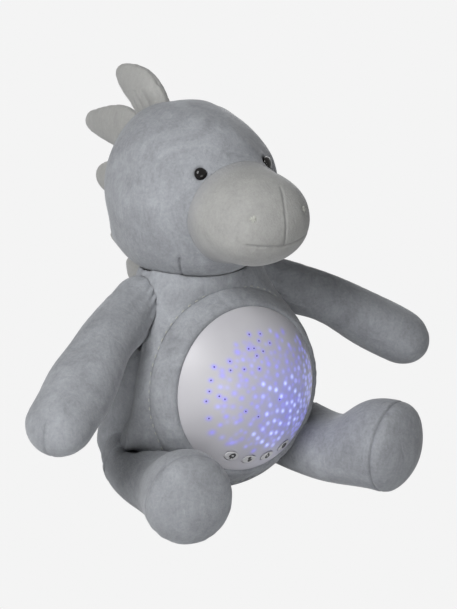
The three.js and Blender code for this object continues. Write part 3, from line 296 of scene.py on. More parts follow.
class Value:
    """A value inside a material. Arithmetic on it adds Math nodes; node() adds any other node."""

    def __init__(self, tree, socket=None):
        self.tree, self.socket = tree, socket

    def node(self, kind, settings=(), inputs=(), output=0):
        made = self.tree.nodes.new(kind)
        for name, setting in dict(settings).items():
            setattr(made, name, setting)
        for name, value in dict(inputs).items():
            if isinstance(value, Value):
                self.tree.links.new(value.socket, made.inputs[name])
            else:
                made.inputs[name].default_value = value
        return Value(self.tree, made.outputs[output] if made.outputs else None)

    def math(self, operation, *values, clamp=False):
        settings = {"operation": operation, "use_clamp": clamp}
        return self.node("ShaderNodeMath", settings, dict(enumerate(values)))

    def __add__(self, other): return self.math("ADD", self, other)
    def __radd__(self, other): return self.math("ADD", other, self)
    def __sub__(self, other): return self.math("SUBTRACT", self, other)
    def __rsub__(self, other): return self.math("SUBTRACT", other, self)
    def __mul__(self, other): return self.math("MULTIPLY", self, other)
    def __rmul__(self, other): return self.math("MULTIPLY", other, self)

    def limited(self): return self.math("ADD", self, 0, clamp=True)

    def between(self, low, high):
        """0 below the low value, 1 above the high one, smooth between."""
        inputs = {0: self, 1: low, 2: high}
        return self.node("ShaderNodeMapRange", {"interpolation_type": "SMOOTHSTEP"}, inputs)

    def noise(self, place, scale, detail=3.0, roughness=0.5, distortion=0.0):
        inputs = {"Vector": place, "Scale": scale, "Detail": detail,
                  "Roughness": roughness, "Distortion": distortion}
        return self.node("ShaderNodeTexNoise", {}, inputs)

    def mixed(self, low, high, blend="MIX"):
        """A colour between two, by this amount."""
        return self.node("ShaderNodeMix", {"data_type": "RGBA", "blend_type": blend},
                         {0: self, 6: low, 7: high}, 2)

    def place(self):
        """The place on the piece, in its own metres."""
        return self.node("ShaderNodeTexCoord", output=3)

    def stretched(self, place, scale):
        return self.node("ShaderNodeMapping", {}, {0: place, 3: scale})

    def marked(self, name):
        """An amount that is kept on the mesh."""
        return self.node("ShaderNodeAttribute", {"attribute_name": name}, output=2)

    def bump(self, strength, height, deep):
        """A relief, with its depth in millimetres."""
        inputs = {"Strength": strength, "Distance": deep * MM, "Height": height}
        return self.node("ShaderNodeBump", {}, inputs)


def srgb(code):
    """The linear colour of a written one, such as 8b8f95."""
    parts = [int(code[i:i + 2], 16) / 255 for i in (0, 2, 4)]
    return tuple(p / 12.92 if p <= 0.04045 else ((p + 0.055) / 1.055) ** 2.4 for p in parts) + (1,)


def start_material(name, **constants):
    """An empty material and its shader; the constants are set on the shader's own sockets."""
    made = bpy.data.materials.new(name)
    made.use_nodes = True
    shader = made.node_tree.nodes["Principled BSDF"]
    for socket, value in constants.items():
        shader.inputs[socket.replace("_", " ")].default_value = value
    return made, Value(made.node_tree), shader


def finish_material(made, shader, **links):
    for socket, value in links.items():
        made.node_tree.links.new(value.socket, shader.inputs[socket.replace("_", " ")])
    return made


def plush(name, low, high, stroke=1.0, beside="8f9093"):
    """Short brushed pile: patches where it lies another way, brush strokes and single tufts. Its
    colour goes over to that of the cloth beside it where the attribute says that their piles mingle,
    and it is darkened by the painted shade that is kept on the skin along creases, folds and seams."""
    made, v, shader = start_material(
        name, Roughness=0.95, Sheen_Weight=0.35, Sheen_Roughness=0.45, Specular_IOR_Level=0.12)
    shader.inputs["Sheen Tint"].default_value = srgb("e2e3e6")
    place = v.place()
    brushed = v.stretched(place, (1.0, 1.0, 0.42))
    patches = v.noise(place, 34, 3.0, 0.6, 1.2)
    strokes = v.noise(brushed, 150, 4.0, 0.65, 1.6)
    tufts = v.noise(place, 620, 3.0, 0.7)
    flecks = v.noise(brushed, 330, 3.0, 0.6, 0.8).between(0.6, 0.72) * patches.between(0.48, 0.66)
    painted_shade = v.marked("seam_and_shade")
    tone = (0.5 + (patches - 0.5) * (0.85 * stroke) + (strokes - 0.5) * (0.6 * stroke)
            + (tufts - 0.5) * 0.55 + flecks * (0.2 * stroke)).limited()
    mingled = v.marked("mingled")
    colour = (mingled * 0.7).limited().mixed(tone.mixed(srgb(low), srgb(high)), srgb(beside))
    # Painted shade: the cloth darkens towards a dark grey by the amount painted into its creases and
    # folds.
    dark = (painted_shade * 0.55).limited().mixed(colour, srgb("3e4045"))
    height = tufts * 0.6 + strokes * 0.4
    pile = v.bump(0.5, height, 1.1)
    rough = 0.86 + tufts * 0.12
    return finish_material(made, shader, Base_Color=dark, Roughness=rough, Normal=pile)


def dress(piece, finish, body, nodes):
    """Gives a piece its finish and hides the CAD nodes that it stands for. A piece given a body's name
    is attached to that body; one given a limb's joint is attached to none, and the joint is not used.
    """
    piece.data.materials.clear()
    piece.data.materials.append(finish)
    if isinstance(body, str):
        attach(piece, body)
    else:
        limb, pivot, along, start, end = body
        (pivot + along * start) * MM
        (pivot + along * end) * MM
        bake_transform(piece)
    if nodes:
        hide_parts(*nodes)


def torso_form(grow=0.0):
    tall = TORSO_HEIGHT + FLOOR_CUT
    stations = [((0, TORSO_HEIGHT * lean, tall * height - FLOOR_CUT),
                 TORSO_HALF_WIDTH * wide, TORSO_HALF_DEPTH * deep)
                for height, lean, wide, deep in TORSO_SHARES]
    return stuffed(stations, (0, 1, 0), TORSO_CAPS, grow)


def belly_form(grow=0.0):
    low, high = BELLY_PROFILE[-1][1] - grow, BELLY_PROFILE[0][1] + grow
    swell = [(ring + grow, rise) for ring, rise in BELLY_PROFILE]
    points, faces = turned([(0, high), *swell, (0, low)])
    ring = np.maximum(np.hypot(points[:, 0], points[:, 1]), 1)
    deep = np.clip((-12 - points[:, 2]) / 14, 0, 1) * np.clip(ring / 50, 0, 1)
    points[:, :2] *= (1 + BELLY_SIDE * deep * (points[:, 0] / ring) ** 2)[:, None]
    return from_lamp(points), faces


def head_form(grow=0.0):
    """A ball whose cheeks hang full over the neck, and whose crown leans back a little."""
    stations = [((x, HEAD_CENTRE[1], HEAD_CENTRE[2]), HEAD_RADIUS, HEAD_RADIUS)
                for x in (-HEAD_HALF_WIDTH, 0, HEAD_HALF_WIDTH)]
    points, faces = stuffed(stations, (0, 0, 1), (HEAD_HALF_WIDTH,) * 2, grow, 1, 22, 96)
    out = points - HEAD_CENTRE
    rise = np.degrees(np.arcsin(out[:, 2] / np.linalg.norm(out, axis=1)))
    crown = np.clip((out[:, 2] - 16) / 38, 0, 1)
    points = points + out * (CHEEK_FULL / HEAD_RADIUS * np.exp(-((rise + 40) / 20) ** 2))[:, None]
    behind, front = np.clip(out[:, 1] / 60 + 0.5, 0, 1), np.clip(0.3 - out[:, 1] / 60, 0, 1)
    brow = np.exp(-((rise - 50) / 20) ** 2) * front
    points = points + out * (BROW_FULL / HEAD_RADIUS * brow)[:, None]
    points[:, 1] += CROWN_LEAN * behind * crown ** 2 * (3 - 2 * crown)
    return points, faces


def shoulder(side):
    return SHOULDER * (side, 1, 1)


def arm_form(side, grow=0.0):
    root, along = SHOULDER_RADIUS * ARM_ROOT_SHARE, arm_along(side)
    full = ARM_REACH * ARM_LENGTH_SHARE[side]
    stations = [(shoulder(side) + along * reach + (0, 0, bow), wide, high)
                for reach, bow, wide, high in (
                    (-root, 0, root, root), (0, 0, root, root),
                    (full * 0.45, ARM_BOW + ARM_RISE[side], ARM_WIDE * 0.92, ARM_HIGH * 0.94),
                    (full * 0.85, ARM_BOW * 0.4 - HAND_DROP[side] * 0.5, ARM_WIDE * 1.12,
                     ARM_HIGH * 1.08),
                    (full + ARM_WIDE, -HAND_DROP[side], ARM_WIDE, ARM_HIGH))]
    return stuffed(stations, (0, 0, 1), (root, ARM_WIDE), grow, 22, ARM_CAP_RINGS, ARM_SIDES)


def arm_along(side):
    level = math.cos(ARM_DROP)
    return np.array([side * math.cos(ARM_FORWARD) * level, -math.sin(ARM_FORWARD) * level,
                     -math.sin(ARM_DROP)])


def hip(side):
    return HIP * (side, 1, 1)


def leg_along(side):
    return np.array([side * math.sin(LEG_SPLAY), -math.cos(LEG_SPLAY), 0])


def haunch_form(side, grow=0.0):
    """The swell of the body round the root of a leg."""
    radius = HAUNCH_RADIUS + HAUNCH_FULL + grow
    points, faces = turned([(radius * math.sin(a), -radius * math.cos(a))
                            for a in np.linspace(0, math.pi, 25)])
    return points + hip(side) * (1, 1, 0) + (side, 0, HAUNCH_RADIUS + HAUNCH_FULL - FLOOR_CUT), faces


def leg_form(side, grow=0.0):
    root, along = HIP_RADIUS, leg_along(side)
    full, foot = LEG_REACH[side], FOOT_RADIUS * FOOT_FULL[side]
    stations = []
    for reach, radius, wide, high, shift in (
            (-root, root, root, root, 0), (0, root, root, root, 0),
            (full * 0.52, ANKLE_RADIUS * 0.95, ANKLE_RADIUS * ANKLE_FULL[side], ANKLE_RADIUS * 0.95,
             ANKLE_SHIFT[side]),
            (full * 0.82, foot, foot * 0.94, foot, FOOT_SHIFT[side]),
            (full, foot, foot * 0.9, foot * 0.94, FOOT_SHIFT[side])):
        place = hip(side) + along * reach + shift
        place[2] = radius - FLOOR_CUT
        stations.append((place, wide, high))
    return stuffed(stations, (0, 0, 1), (root, FOOT_CAP), grow, 26, 12, 64)


def lamp_room(clear):
    """The room that the lamp and its hem take in the belly, open to the front."""
    deep, ledge = -LAMP_DEEP - clear, -HEM_DEEP - clear
    inner, outer = DOME_RADIUS + clear, HEM_OUTER + clear
    points, faces = turned([
        (0, deep), (inner, deep), (inner, ledge), (outer, ledge), (outer, LAMP_OPEN), (0, LAMP_OPEN)])
    return from_lamp(points), faces


def floor_slab():
    return block((-300, -300, -150), (300, 300, 0))


torso = add_mesh("torso_skin", torso_form(-SEAM_IN))
for side in (1, -1):
    combine(torso, haunch_form(side, -SEAM_IN), "UNION")
combine(torso, belly_form(), "UNION")
remesh(torso, TORSO_NET_FIRST)
skin = points_of(torso)
ease(torso, np.clip((150 - skin[:, 2]) / 12, 0, 1), 22)

# Round the lamp the belly falls away evenly from the hem, also where the chest stands over it
lamp = to_lamp(points_of(torso))
ring = np.hypot(lamp[:, 0], lamp[:, 1])
rings, rises = zip(*BELLY_PROFILE[:5])
limit = np.where(ring < rings[-1], np.interp(ring, rings, rises), rises[-1] + 0.55 * (ring - rings[-1]))
proud = (lamp[:, 2] > limit) & (lamp[:, 2] > -30)
lamp[proud, 2] = limit[proud]
skin = from_lamp(lamp)
nape = (np.clip((skin[:, 2] - NAPE_START) / 14, 0, 1) * np.clip((skin[:, 1] - 4) / 22, 0, 1)
        * np.clip((abs(skin[:, 0]) - 10) / 12, 0, 1))
skin[:, :2] += ((0, 12) - skin[:, :2]) * (NAPE_DRAW * nape)[:, None]
set_points(torso, skin)
ease(torso, np.exp(-((ring - 68) / 9) ** 2), 14)
combine(torso, head_form(-HEAD_SEAT))
for side in (1, -1):
    combine(torso, arm_form(side, -LIMB_SEAT))
    combine(torso, leg_form(side, -LIMB_SEAT), less=belly_form(-0.5))
combine(torso, lamp_room(LAMP_GAP))
combine(torso, floor_slab())
remesh(torso, TORSO_NET)


def inside(points, form, margin):
    """1 for points less than a margin outside a closed form, or inside it."""
    tree = bvhtree.BVHTree.FromPolygons([Vector(p) for p in form[0]], form[1])
    found = [tree.find_nearest(Vector(p)) for p in points]
    return np.array([(Vector(p) - f[0]).dot(f[1]) < margin for p, f in zip(points, found)], float)


def torso_held(points):
    """1 where seams, sockets, the lamp or the floor hold the torso's skin."""
    lamp = to_lamp(points)
    ring = np.hypot(lamp[:, 0], lamp[:, 1])
    held = ((ring < HEM_OUTER + 2.5) & (lamp[:, 2] > -55)).astype(float)
    held = np.maximum(held, points[:, 2] < 2)
    held = np.maximum(held, inside(points, head_form(), SEWN_NEAR))
    for side in (1, -1):
        for limb in (arm_form(side), leg_form(side)):
            held = np.maximum(held, inside(points, limb, SEWN_NEAR))
    under_flap = (abs(points[:, 0]) < 36) & (abs(points[:, 2] - FLAP_MIDDLE) < 27) & (points[:, 1] > 20)
    return np.maximum(held, under_flap).astype(float)


inflate(torso, torso_held(points_of(torso)), TORSO_SWELL)
refine(torso, 2)

grey_plush = plush("plush_grey", "717377", "adb0b5")
dress(torso, grey_plush, "torso", ["torso"])

# Head: a ball of plush panels, firmly stuffed, with the snout's panels sewn flush to the face. A
# dart on each side takes in the chin, the middle seam at the back holds the crest, and the eyes'
# washers pull a dimple in the cloth.

EYE_SPREAD, EYE_RAISE = 23.0, 22.0
MUZZLE_ROOT, MUZZLE_REACH, MUZZLE_DROP = 24.0, 95.0, 6.0
MUZZLE_WIDE, MUZZLE_HIGH, MUZZLE_CAP = 36.0, 29.0, 34.0
NECK_RIM, NECK_BLEND, FACE_CREASE, PANEL_GAP = 146, 6, 9.0, 0.12


def muzzle_form(grow=0.0):
    middle = (MUZZLE_ROOT + MUZZLE_REACH) / 2
    stations = [(HEAD_CENTRE - (0, reach, drop), MUZZLE_WIDE * wide, MUZZLE_HIGH * high)
                for reach, drop, wide, high in (
                    (MUZZLE_ROOT, 0, 0.92, 0.95), (middle, MUZZLE_DROP / 2, 0.95, 0.96),
                    (MUZZLE_REACH, MUZZLE_DROP, 1, 1))]
    return stuffed(stations, (0, 0, 1), (4.0, MUZZLE_CAP), grow, 14, 16, 72)


def snout_panels(grow=0.0):
    """The part of the face that the snout's panels cover: it opens wider than the snout."""
    stations = [(HEAD_CENTRE - (0, reach, drop), MUZZLE_WIDE * wide + grow, MUZZLE_HIGH * high + grow)
                for reach, drop, wide, high in (
                    (MUZZLE_ROOT, 0, 0.84, 0.88), (44, 1.5, 0.9, 0.95),
                    (60, MUZZLE_DROP / 2, 1.2, 1.25), (MUZZLE_REACH + 20, MUZZLE_DROP, 1.3, 1.3))]
    return stuffed(stations, (0, 0, 1), (3.0, 6.0), 0, 20, 6, 96)


def eye_place(side):
    """Where an eye sits on the head, and the way that it looks."""
    across, lift = EYE_SPREAD / HEAD_HALF_WIDTH, EYE_RAISE / HEAD_RADIUS
    ahead = math.sqrt(1 - across ** 2 - lift ** 2)
    place = HEAD_CENTRE + (side * EYE_SPREAD, -ahead * HEAD_RADIUS, EYE_RAISE)
    out = np.array([side * across / HEAD_HALF_WIDTH, -ahead / HEAD_RADIUS, lift / HEAD_RADIUS])
    return place, out / np.linalg.norm(out)


def lumps(points, size, seed):
    """Slow unevenness of the stuffing, about -1 to 1, with lumps of a size."""
    rng = np.random.default_rng(seed)
    waves = rng.normal(size=(9, 3))
    waves *= (2 * math.pi / (size * rng.uniform(0.7, 1.7, 9)) / np.linalg.norm(waves, axis=1))[:, None]
    return np.sin(points @ waves.T + rng.uniform(0, 2 * math.pi, 9)).sum(1) / 5


def near_path(points, path):
    """Distance from each point to a path, and how far along the path its nearest place is."""
    path = np.asarray(path, float)
    away, along, run = np.full(len(points), 1e9), np.zeros(len(points)), 0.0
    for a, b in zip(path[:-1], path[1:]):
        step = b - a
        length = np.linalg.norm(step)
        share = np.clip((points - a) @ step / length ** 2, 0, 1)
        distance = np.linalg.norm(points - a - share[:, None] * step, axis=1)
        closer = distance < away
        away[closer], along[closer] = distance[closer], run + share[closer] * length
        run += length
    return away, along


def skin_tree(piece):
    mesh = piece.data
    return bvhtree.BVHTree.FromPolygons([v.co / MM for v in mesh.vertices],
                                        [tuple(p.vertices) for p in mesh.polygons])


def laid_on(piece, path, step=2.0):
    """A smooth path through the given points, drawn down on to the skin of a piece."""
    tree = skin_tree(piece)
    knots = [tree.find_nearest(Vector(p))[0][:] for p in path]
    length = np.linalg.norm(np.diff(np.array(knots), axis=0), axis=1).sum()
    t = np.linspace(0, 1, max(4, int(length / step)))
    return np.array([tree.find_nearest(Vector(p))[0][:] for p in curve_points(knots, t)])


def mark(piece, name, amount):
    """Keeps the strongest amount at each point as an attribute that the cloth's material reads."""
    layer = piece.data.attributes.get(name) or piece.data.attributes.new(name, "FLOAT", "POINT")
    values = np.empty(len(piece.data.vertices), np.float32)
    layer.data.foreach_get("value", values)
    layer.data.foreach_set("value", np.maximum(values, amount).astype(np.float32))


def seam_and_shade(piece, path, depth=1.2, width=1.5, pucker=0.35, pitch=8.0, shade=1.0):
    """Draws a sewn line into the skin: a narrow valley with the cloth gathered in folds beside it, and
    paints shade into the valley by the shade amount.
    """
    away, along = near_path(points_of(piece), path)
    valley = np.exp(-(away / width) ** 2)
    folds = np.exp(-(away / (width * 4.5)) ** 2) * (1 - np.exp(-(away / width) ** 2))
    wave = np.sin(2 * math.pi * along / pitch + 2.2 * np.sin(along / 11.0))
    push(piece, pucker * folds * wave - depth * valley)
    # The valley is kept as painted shade, and the plush is darkened by it.
    mark(piece, "seam_and_shade", valley * shade)


HEAD_SEAM_IN, MUZZLE_SEAM_IN, HEAD_NET, HEAD_SWELL, EYE_HELD = 0.9, 0.7, 3.0, 1.5, 6
head = add_mesh("head_skin", head_form(-HEAD_SEAM_IN))
combine(head, muzzle_form(-MUZZLE_SEAM_IN), "UNION")
remesh(head, HEAD_NET)
skin = points_of(head)
in_bowl = np.clip((NECK_RIM - skin[:, 2]) / NECK_BLEND, 0, 1)
crease = inside(skin, muzzle_form(), FACE_CREASE) * inside(skin, head_form(), FACE_CREASE)
ease(head, crease, 26)
skin = points_of(head)
held = in_bowl
for side in (1, -1):
    held = np.maximum(held, np.linalg.norm(skin - eye_place(side)[0], axis=1) < EYE_HELD)
inflate(head, held, HEAD_SWELL)
ease(head, 1 - held, 5)
refine(head, 2)
skin = points_of(head)
free = 1 - np.clip((NECK_RIM - skin[:, 2]) / NECK_BLEND, 0, 1)
push(head, lumps(skin, 46, 3) * 0.5 * free)
muzzle = head.copy()
muzzle.data = head.data.copy()
muzzle.name = muzzle.data.name = "muzzle_skin"
bpy.context.scene.collection.objects.link(muzzle)
combine(head, snout_panels(PANEL_GAP))
combine(muzzle, snout_panels(), "INTERSECT")
for piece in (head, muzzle):
    piece.data.set_sharp_from_angle(angle=math.radians(38))
for side in (1, -1):
    dart = [(side * 30.3, -20.5, 148.5), (side * 27.7, -17.4, 141.8), (side * 23.7, -13.4, 135.8)]
    seam_and_shade(head, laid_on(head, dart), 0.9, 0.7, 0.15, 6, 0.8)
back_arc = [HEAD_CENTRE + np.array([0, math.sin(a), math.cos(a)]) * HEAD_RADIUS
            for a in np.radians(np.linspace(18, 150, 12))]
seam_and_shade(head, laid_on(head, back_arc), 0.8, 1.0, 0.2, 9, 0.4)
for side in (1, -1):
    place, out = eye_place(side)
    skin = points_of(head)
    away = np.linalg.norm(skin - place, axis=1)
    dimple = 0.3 * np.exp(-((away - 5.8) / 1.8) ** 2) - 1.2 * np.exp(-(away / 4.4) ** 4)
    set_points(head, skin + out * dimple[:, None])
    # Painted shade: the cloth is darkened in the dimple, round the rim of each eye.
    mark(head, "seam_and_shade", 0.6 * np.exp(-(away / 3.7) ** 8))
dress(head, grey_plush, "head", ["head"])

# Eyes: black moulded beads on a barbed stem that goes through the cloth into a washer behind it.
# The bead is glossy, with a brown cast where light gets into the plastic.

bead_gloss, v, shader = start_material(
    "eye_bead", Roughness=0.12, Coat_Weight=0.38, Coat_Roughness=0.06, Specular_IOR_Level=0.05)
place = v.place()
cloud = v.noise(place, 420, 2.0)
brown_black = cloud.between(0.35, 0.75).mixed(srgb("040303"), srgb("100c0a"))
ripple = v.bump(0.05, cloud, 0.2)
finish_material(bead_gloss, shader, Base_Color=brown_black, Normal=ripple)

EYE_RADIUS, EYE_HEIGHT, EYE_STEM, EYE_STEM_LONG = 3.6, 3.0, 1.3, 9
for side, word in SIDES:
    bead = [(EYE_RADIUS * math.sin(a) ** 0.8, 0.7 + (EYE_HEIGHT - 0.7) * math.cos(a))
            for a in np.linspace(math.pi / 2, 0.02, 14)]
    profile = [(0, -EYE_STEM_LONG), (EYE_STEM * 0.6, -EYE_STEM_LONG), (EYE_STEM, 1 - EYE_STEM_LONG),
               (EYE_STEM, -0.2), (EYE_RADIUS * 0.93, -0.1), (EYE_RADIUS, 0.3), *bead, (0, EYE_HEIGHT)]
    points, faces = turned(profile, 40)
    place, out = eye_place(side)
    turn = np.array(Vector((0, 0, 1)).rotation_difference(Vector(out)).to_matrix())
    eye = add_mesh(f"eye_bead_{word}", (points @ turn.T + place, faces))
    apply_modifiers(eye)
    dress(eye, bead_gloss, "head", [f"eye_{word}"])

# Muzzle: the paler snout of three panels, sewn flush to the face. One seam runs down its middle
# to the mouth seam, which goes round the front, and two knots of thread mark the nostrils.

middle_seam = laid_on(muzzle, [(5.5, -68.5, 194.6), (1.8, -78, 186.5), (0, -83, 174), (0, -81, 163.5)])
seam_and_shade(muzzle, middle_seam, 0.6, 0.6, 0.06, 7, 0.6)
mouth_half = [(29.8, -64.4, 167.8), (21.7, -74, 165.8), (12.7, -79, 164.2)]
mouth = mouth_half + [(0, -81, 163.5)] + [(-x, y, z) for x, y, z in reversed(mouth_half[1:])]
seam_and_shade(muzzle, laid_on(muzzle, mouth), 0.5, 0.6, 0.1, 6, 0.45)
NOSTRIL_DEEP, NOSTRIL_WIDE = 0.8, 3.0
nostrils = [np.array([side * 18.2, -75.5, 181.0]) for side in (1, -1)]
for nostril in nostrils:
    away = np.linalg.norm(points_of(muzzle) - nostril, axis=1)
    push(muzzle, -NOSTRIL_DEEP * np.exp(-(away / NOSTRIL_WIDE) ** 2))
panel_points, panel_faces = snout_panels()
rim_tree = bvhtree.BVHTree.FromPolygons([Vector(p) for p in panel_points], panel_faces)
away = np.array([rim_tree.find_nearest(Vector(p))[3] for p in points_of(muzzle)])
mark(muzzle, "mingled", np.exp(-(away / 4.5) ** 2))
pale_plush = plush("plush_pale", "878786", "b4b4b1", 0.7)
dress(muzzle, pale_plush, "head", ["muzzle"])


def laying_tree(name, grain, settings):
    """Geometry Nodes: a small piece at each point, laid along the point's own direction."""
    tree = bpy.data.node_groups.new(name, "GeometryNodeTree")
    add = tree.interface.new_socket
    add("Places", in_out="INPUT", socket_type="NodeSocketGeometry")
    for size, kind in (("Length", "Float"), ("Radius", "Float"), ("Finish", "Material")):
        add(size, in_out="INPUT", socket_type=f"NodeSocket{kind}")
    add("Pieces", in_out="OUTPUT", socket_type="NodeSocketGeometry")
    g = Value(tree)
    places, length, radius, finish = (g.node("NodeGroupInput", output=i) for i in range(4))
    piece = g.node(grain, {}, settings)
    along = g.node("GeometryNodeInputNamedAttribute", {"data_type": "FLOAT_VECTOR"}, {"Name": "along"})
    turn = g.node("FunctionNodeAlignRotationToVector", {"axis": "Z"}, {"Vector": along})
    size = g.node("ShaderNodeCombineXYZ", {}, {0: radius, 1: radius, 2: length})
    laid = g.node("GeometryNodeInstanceOnPoints", {}, {
        "Points": places, "Instance": piece, "Rotation": turn, "Scale": size})
    real = g.node("GeometryNodeRealizeInstances", {}, {0: laid})
    done = g.node("GeometryNodeSetMaterial", {}, {"Geometry": real, "Material": finish})
    g.node("NodeGroupOutput", {}, {0: done})
    return tree


def lay_pieces(name, tree, places, along, length, thickness, finish):
    """Small pieces at the given places, made into one plain mesh."""
    piece = add_mesh(name, (np.asarray(places), []))
    layer = piece.data.attributes.new("along", "FLOAT_VECTOR", "POINT")
    layer.data.foreach_set("vector", np.asarray(along, np.float32).ravel())
    work = piece.modifiers.new("laid", "NODES")
    work.node_group = tree
    sizes = {"Length": length / 2 * MM, "Radius": thickness / 2 * MM, "Finish": finish}
    for socket in tree.interface.items_tree:
        if socket.name in sizes:
            work[socket.identifier] = sizes[socket.name]
    apply_modifiers(piece)
    return piece


def sew(name, places, along, length, thickness, body):
    """Stitches of pale thread at the given places, riding on a body."""
    piece = lay_pieces(name, stitches, places, along, length, thickness, thread)
    dress(piece, thread, body, [])


def along_path(path, pitch):
    """Even places along a path, with the path's direction at each."""
    path = np.asarray(path, float)
    run = np.concatenate([[0], np.cumsum(np.linalg.norm(np.diff(path, axis=0), axis=1))])
    stops = np.arange(pitch / 2, run[-1], pitch)
    places = np.stack([np.interp(stops, run, path[:, k]) for k in range(3)], axis=1)
    ahead = np.stack([np.interp(stops + pitch * 0.3, run, path[:, k]) for k in range(3)], axis=1)
    return places, ahead - places


stitches = laying_tree("thread_stitches", "GeometryNodeMeshUVSphere",
                       {"Segments": 8, "Rings": 6, "Radius": 1.0})
thread, v, shader = start_material("thread_pale", Roughness=0.6, Sheen_Weight=0.3)
place = v.place()
twist = v.noise(place, 1500, 2.0)
strands = v.bump(0.4, twist, 0.2)
finish_material(thread, shader, Base_Color=twist.mixed(srgb("8f9089"), srgb("c4c5be")),
                Normal=strands)
KNOT_LONG, KNOT_THICK, STITCH_LONG = 4.2, 0.75, 2.4
knot_places, knot_ways = [], []
for nostril in nostrils:
    tree = skin_tree(muzzle)
    place, out = (np.array(part[:]) for part in tree.find_nearest(Vector(nostril))[:2])
    side_way = np.cross(out, (0, 0, 1))
    up_way = np.cross(side_way, out)
    for turn in np.radians([0, 45, 90, 135, 20, 110]):
        way = side_way * math.cos(turn) + up_way * math.sin(turn)
        knot_places.append(place + out * (0.25 + 0.1 * math.sin(turn * 3)) + way * 0.3)
        knot_ways.append(way)
sew("nostril_knots", knot_places, knot_ways, KNOT_LONG, KNOT_THICK, "head")

# Crest: flat stuffed leaves of two pale panels each, turned through their open root and caught in
# the head's middle seam, where the cloth gathers. One more stands on the back and one on the tail.

SPIKE_LENGTH, SPIKE_WIDE, SPIKE_THICK, SPIKE_ROOT, SPIKE_LEAN = 46.0, 12.971, 6.4, 13.0, 12.0
BACK_SINK, HEAD_SINK, TAIL_SINK, TAIL_TOP_SINK = 11.0, 7.0, 5.0, 6.0
SPIKE_SEAM_IN, SPIKE_NET, SPIKE_SWELL, SPIKE_SEWN = 0.5, 1.9, 1.5, 4
SPIKE_SIDES, SPIKE_CAP_RINGS, SPIKE_RINGS = 40, 8, 14
CREASE_LOW, CREASE_ASIDE, CREASES = 2, 8, ((-6, 11), (1, 16), (7, 12))


def swung(form, pivot, axis, degrees):
    """A form turned about a line through a pivot."""
    turn = np.array(Matrix.Rotation(math.radians(degrees), 3, Vector(axis)))
    return (form[0] - pivot) @ turn.T + pivot, form[1]


def spike_form(root, out, reach, lean, broad, grow=0.0):
    along = np.cross((1, 0, 0), out)
    length = SPIKE_LENGTH * reach
    stations = [(root + out * rise - along * lag, SPIKE_WIDE * wide * broad, SPIKE_THICK * thick)
                for rise, lag, wide, thick in (
                    (-SPIKE_ROOT, 0, 1.2, 1), (length * 0.3, 0, 1.12, 1),
                    (length * 0.7, SPIKE_LEAN * lean * 0.5, 0.79, 0.8),
                    (length, SPIKE_LEAN * lean, 0.37, 0.5))]
    return stuffed(stations, (1, 0, 0), (4.0, SPIKE_WIDE * 0.8), grow, SPIKE_RINGS, SPIKE_CAP_RINGS,
                   SPIKE_SIDES)


def rim_path(form):
    """The line round a leaf where its two panels meet, from root to tip and back."""
    rows = range(SPIKE_CAP_RINGS, SPIKE_CAP_RINGS * 2 + SPIKE_RINGS - 1)
    near, far = ([form[0][1 + row * SPIKE_SIDES + k] for row in rows] for k in (0, SPIKE_SIDES // 2))
    return near[::2] + [form[0][-1]] + far[::-1][::2]


def add_spike(name, root, out, reach, lean, broad, carriers, body, node):
    form = spike_form(root, out, reach, lean, broad, -SPIKE_SEAM_IN)
    spike = add_mesh(name, form)
    for carrier in carriers:
        combine(spike, carrier)
    remesh(spike, SPIKE_NET, 3)
    skin = points_of(spike)
    rise = (skin - root) @ out
    inflate(spike, (rise < SPIKE_SEWN).astype(float), SPIKE_SWELL)
    refine(spike, 2)
    seam_and_shade(spike, laid_on(spike, rim_path(form)), 0.3, 0.7, 0.0, 5, 0.2)
    for lag, length in CREASES:
        crease = [root + out * rise - np.cross((1, 0, 0), out) * lag + (CREASE_ASIDE, 0, 0)
                  for rise in (CREASE_LOW, CREASE_LOW + length)]
        for side in (1, -1):
            path = np.array(crease) * (side, 1, 1)
            seam_and_shade(spike, laid_on(spike, path), 0.6, 1.6, 0.0, 9, 0.12)
    dress(spike, pale_plush, body, [node])


HEAD_SPIKES = [(43.5, 0.99, 1.5, 1.14), (71.5, 1.46, 1.5, 1.12), (97, 1.22, -0.1, 1.15),
               (125, 1.08, -1.1, 0.9)]
for i, (angle, reach, lean, broad) in enumerate(HEAD_SPIKES, 1):
    out = np.array([0, math.sin(math.radians(angle)), math.cos(math.radians(angle))])
    carriers = [head_form(-HEAD_SINK)]
    if i == 4:
        carriers.append(swung(torso_form(2.6), HEAD_CENTRE, (1, 0, 0), 3))
    add_spike(f"crest_spike_{i}", HEAD_CENTRE + out * HEAD_RADIUS, out, reach, lean, broad, carriers,
              "head", f"head_spike_{i}")


def torso_back(height):
    """How far back the body reaches at a height."""
    tall = [(TORSO_HEIGHT + FLOOR_CUT) * share - FLOOR_CUT for share, *_ in TORSO_SHARES]
    deep = [TORSO_HEIGHT * lean + TORSO_HALF_DEPTH * depth for _, lean, _, depth in TORSO_SHARES]
    return float(np.interp(height, tall, deep))


BACK_SPIKE_HIGH = 106.005
tilt = math.radians(7)
add_spike("back_spike_leaf", np.array([0, torso_back(BACK_SPIKE_HIGH), BACK_SPIKE_HIGH]),
          np.array([0, math.cos(tilt), math.sin(tilt)]), 0.82, -0.3, 1.1,
          [torso_form(-BACK_SINK)], "torso", "back_spike")

# Tail: a short stuffed cone low on the back, sewn on round its root, with a seam along its top
# that holds a small pale leaf.

TAIL_START, TAIL_LENGTH, TAIL_RADIUS, TAIL_TIP = 33.0, 62.0, 20.0, 7.0
TAIL_SEAM_IN, TAIL_ROOT_SINK, TAIL_NET, TAIL_SWELL, TAIL_SEWN = 0.6, 4.0, 2.6, 1.6, 4.5
FLOOR_CLEAR = 0.05


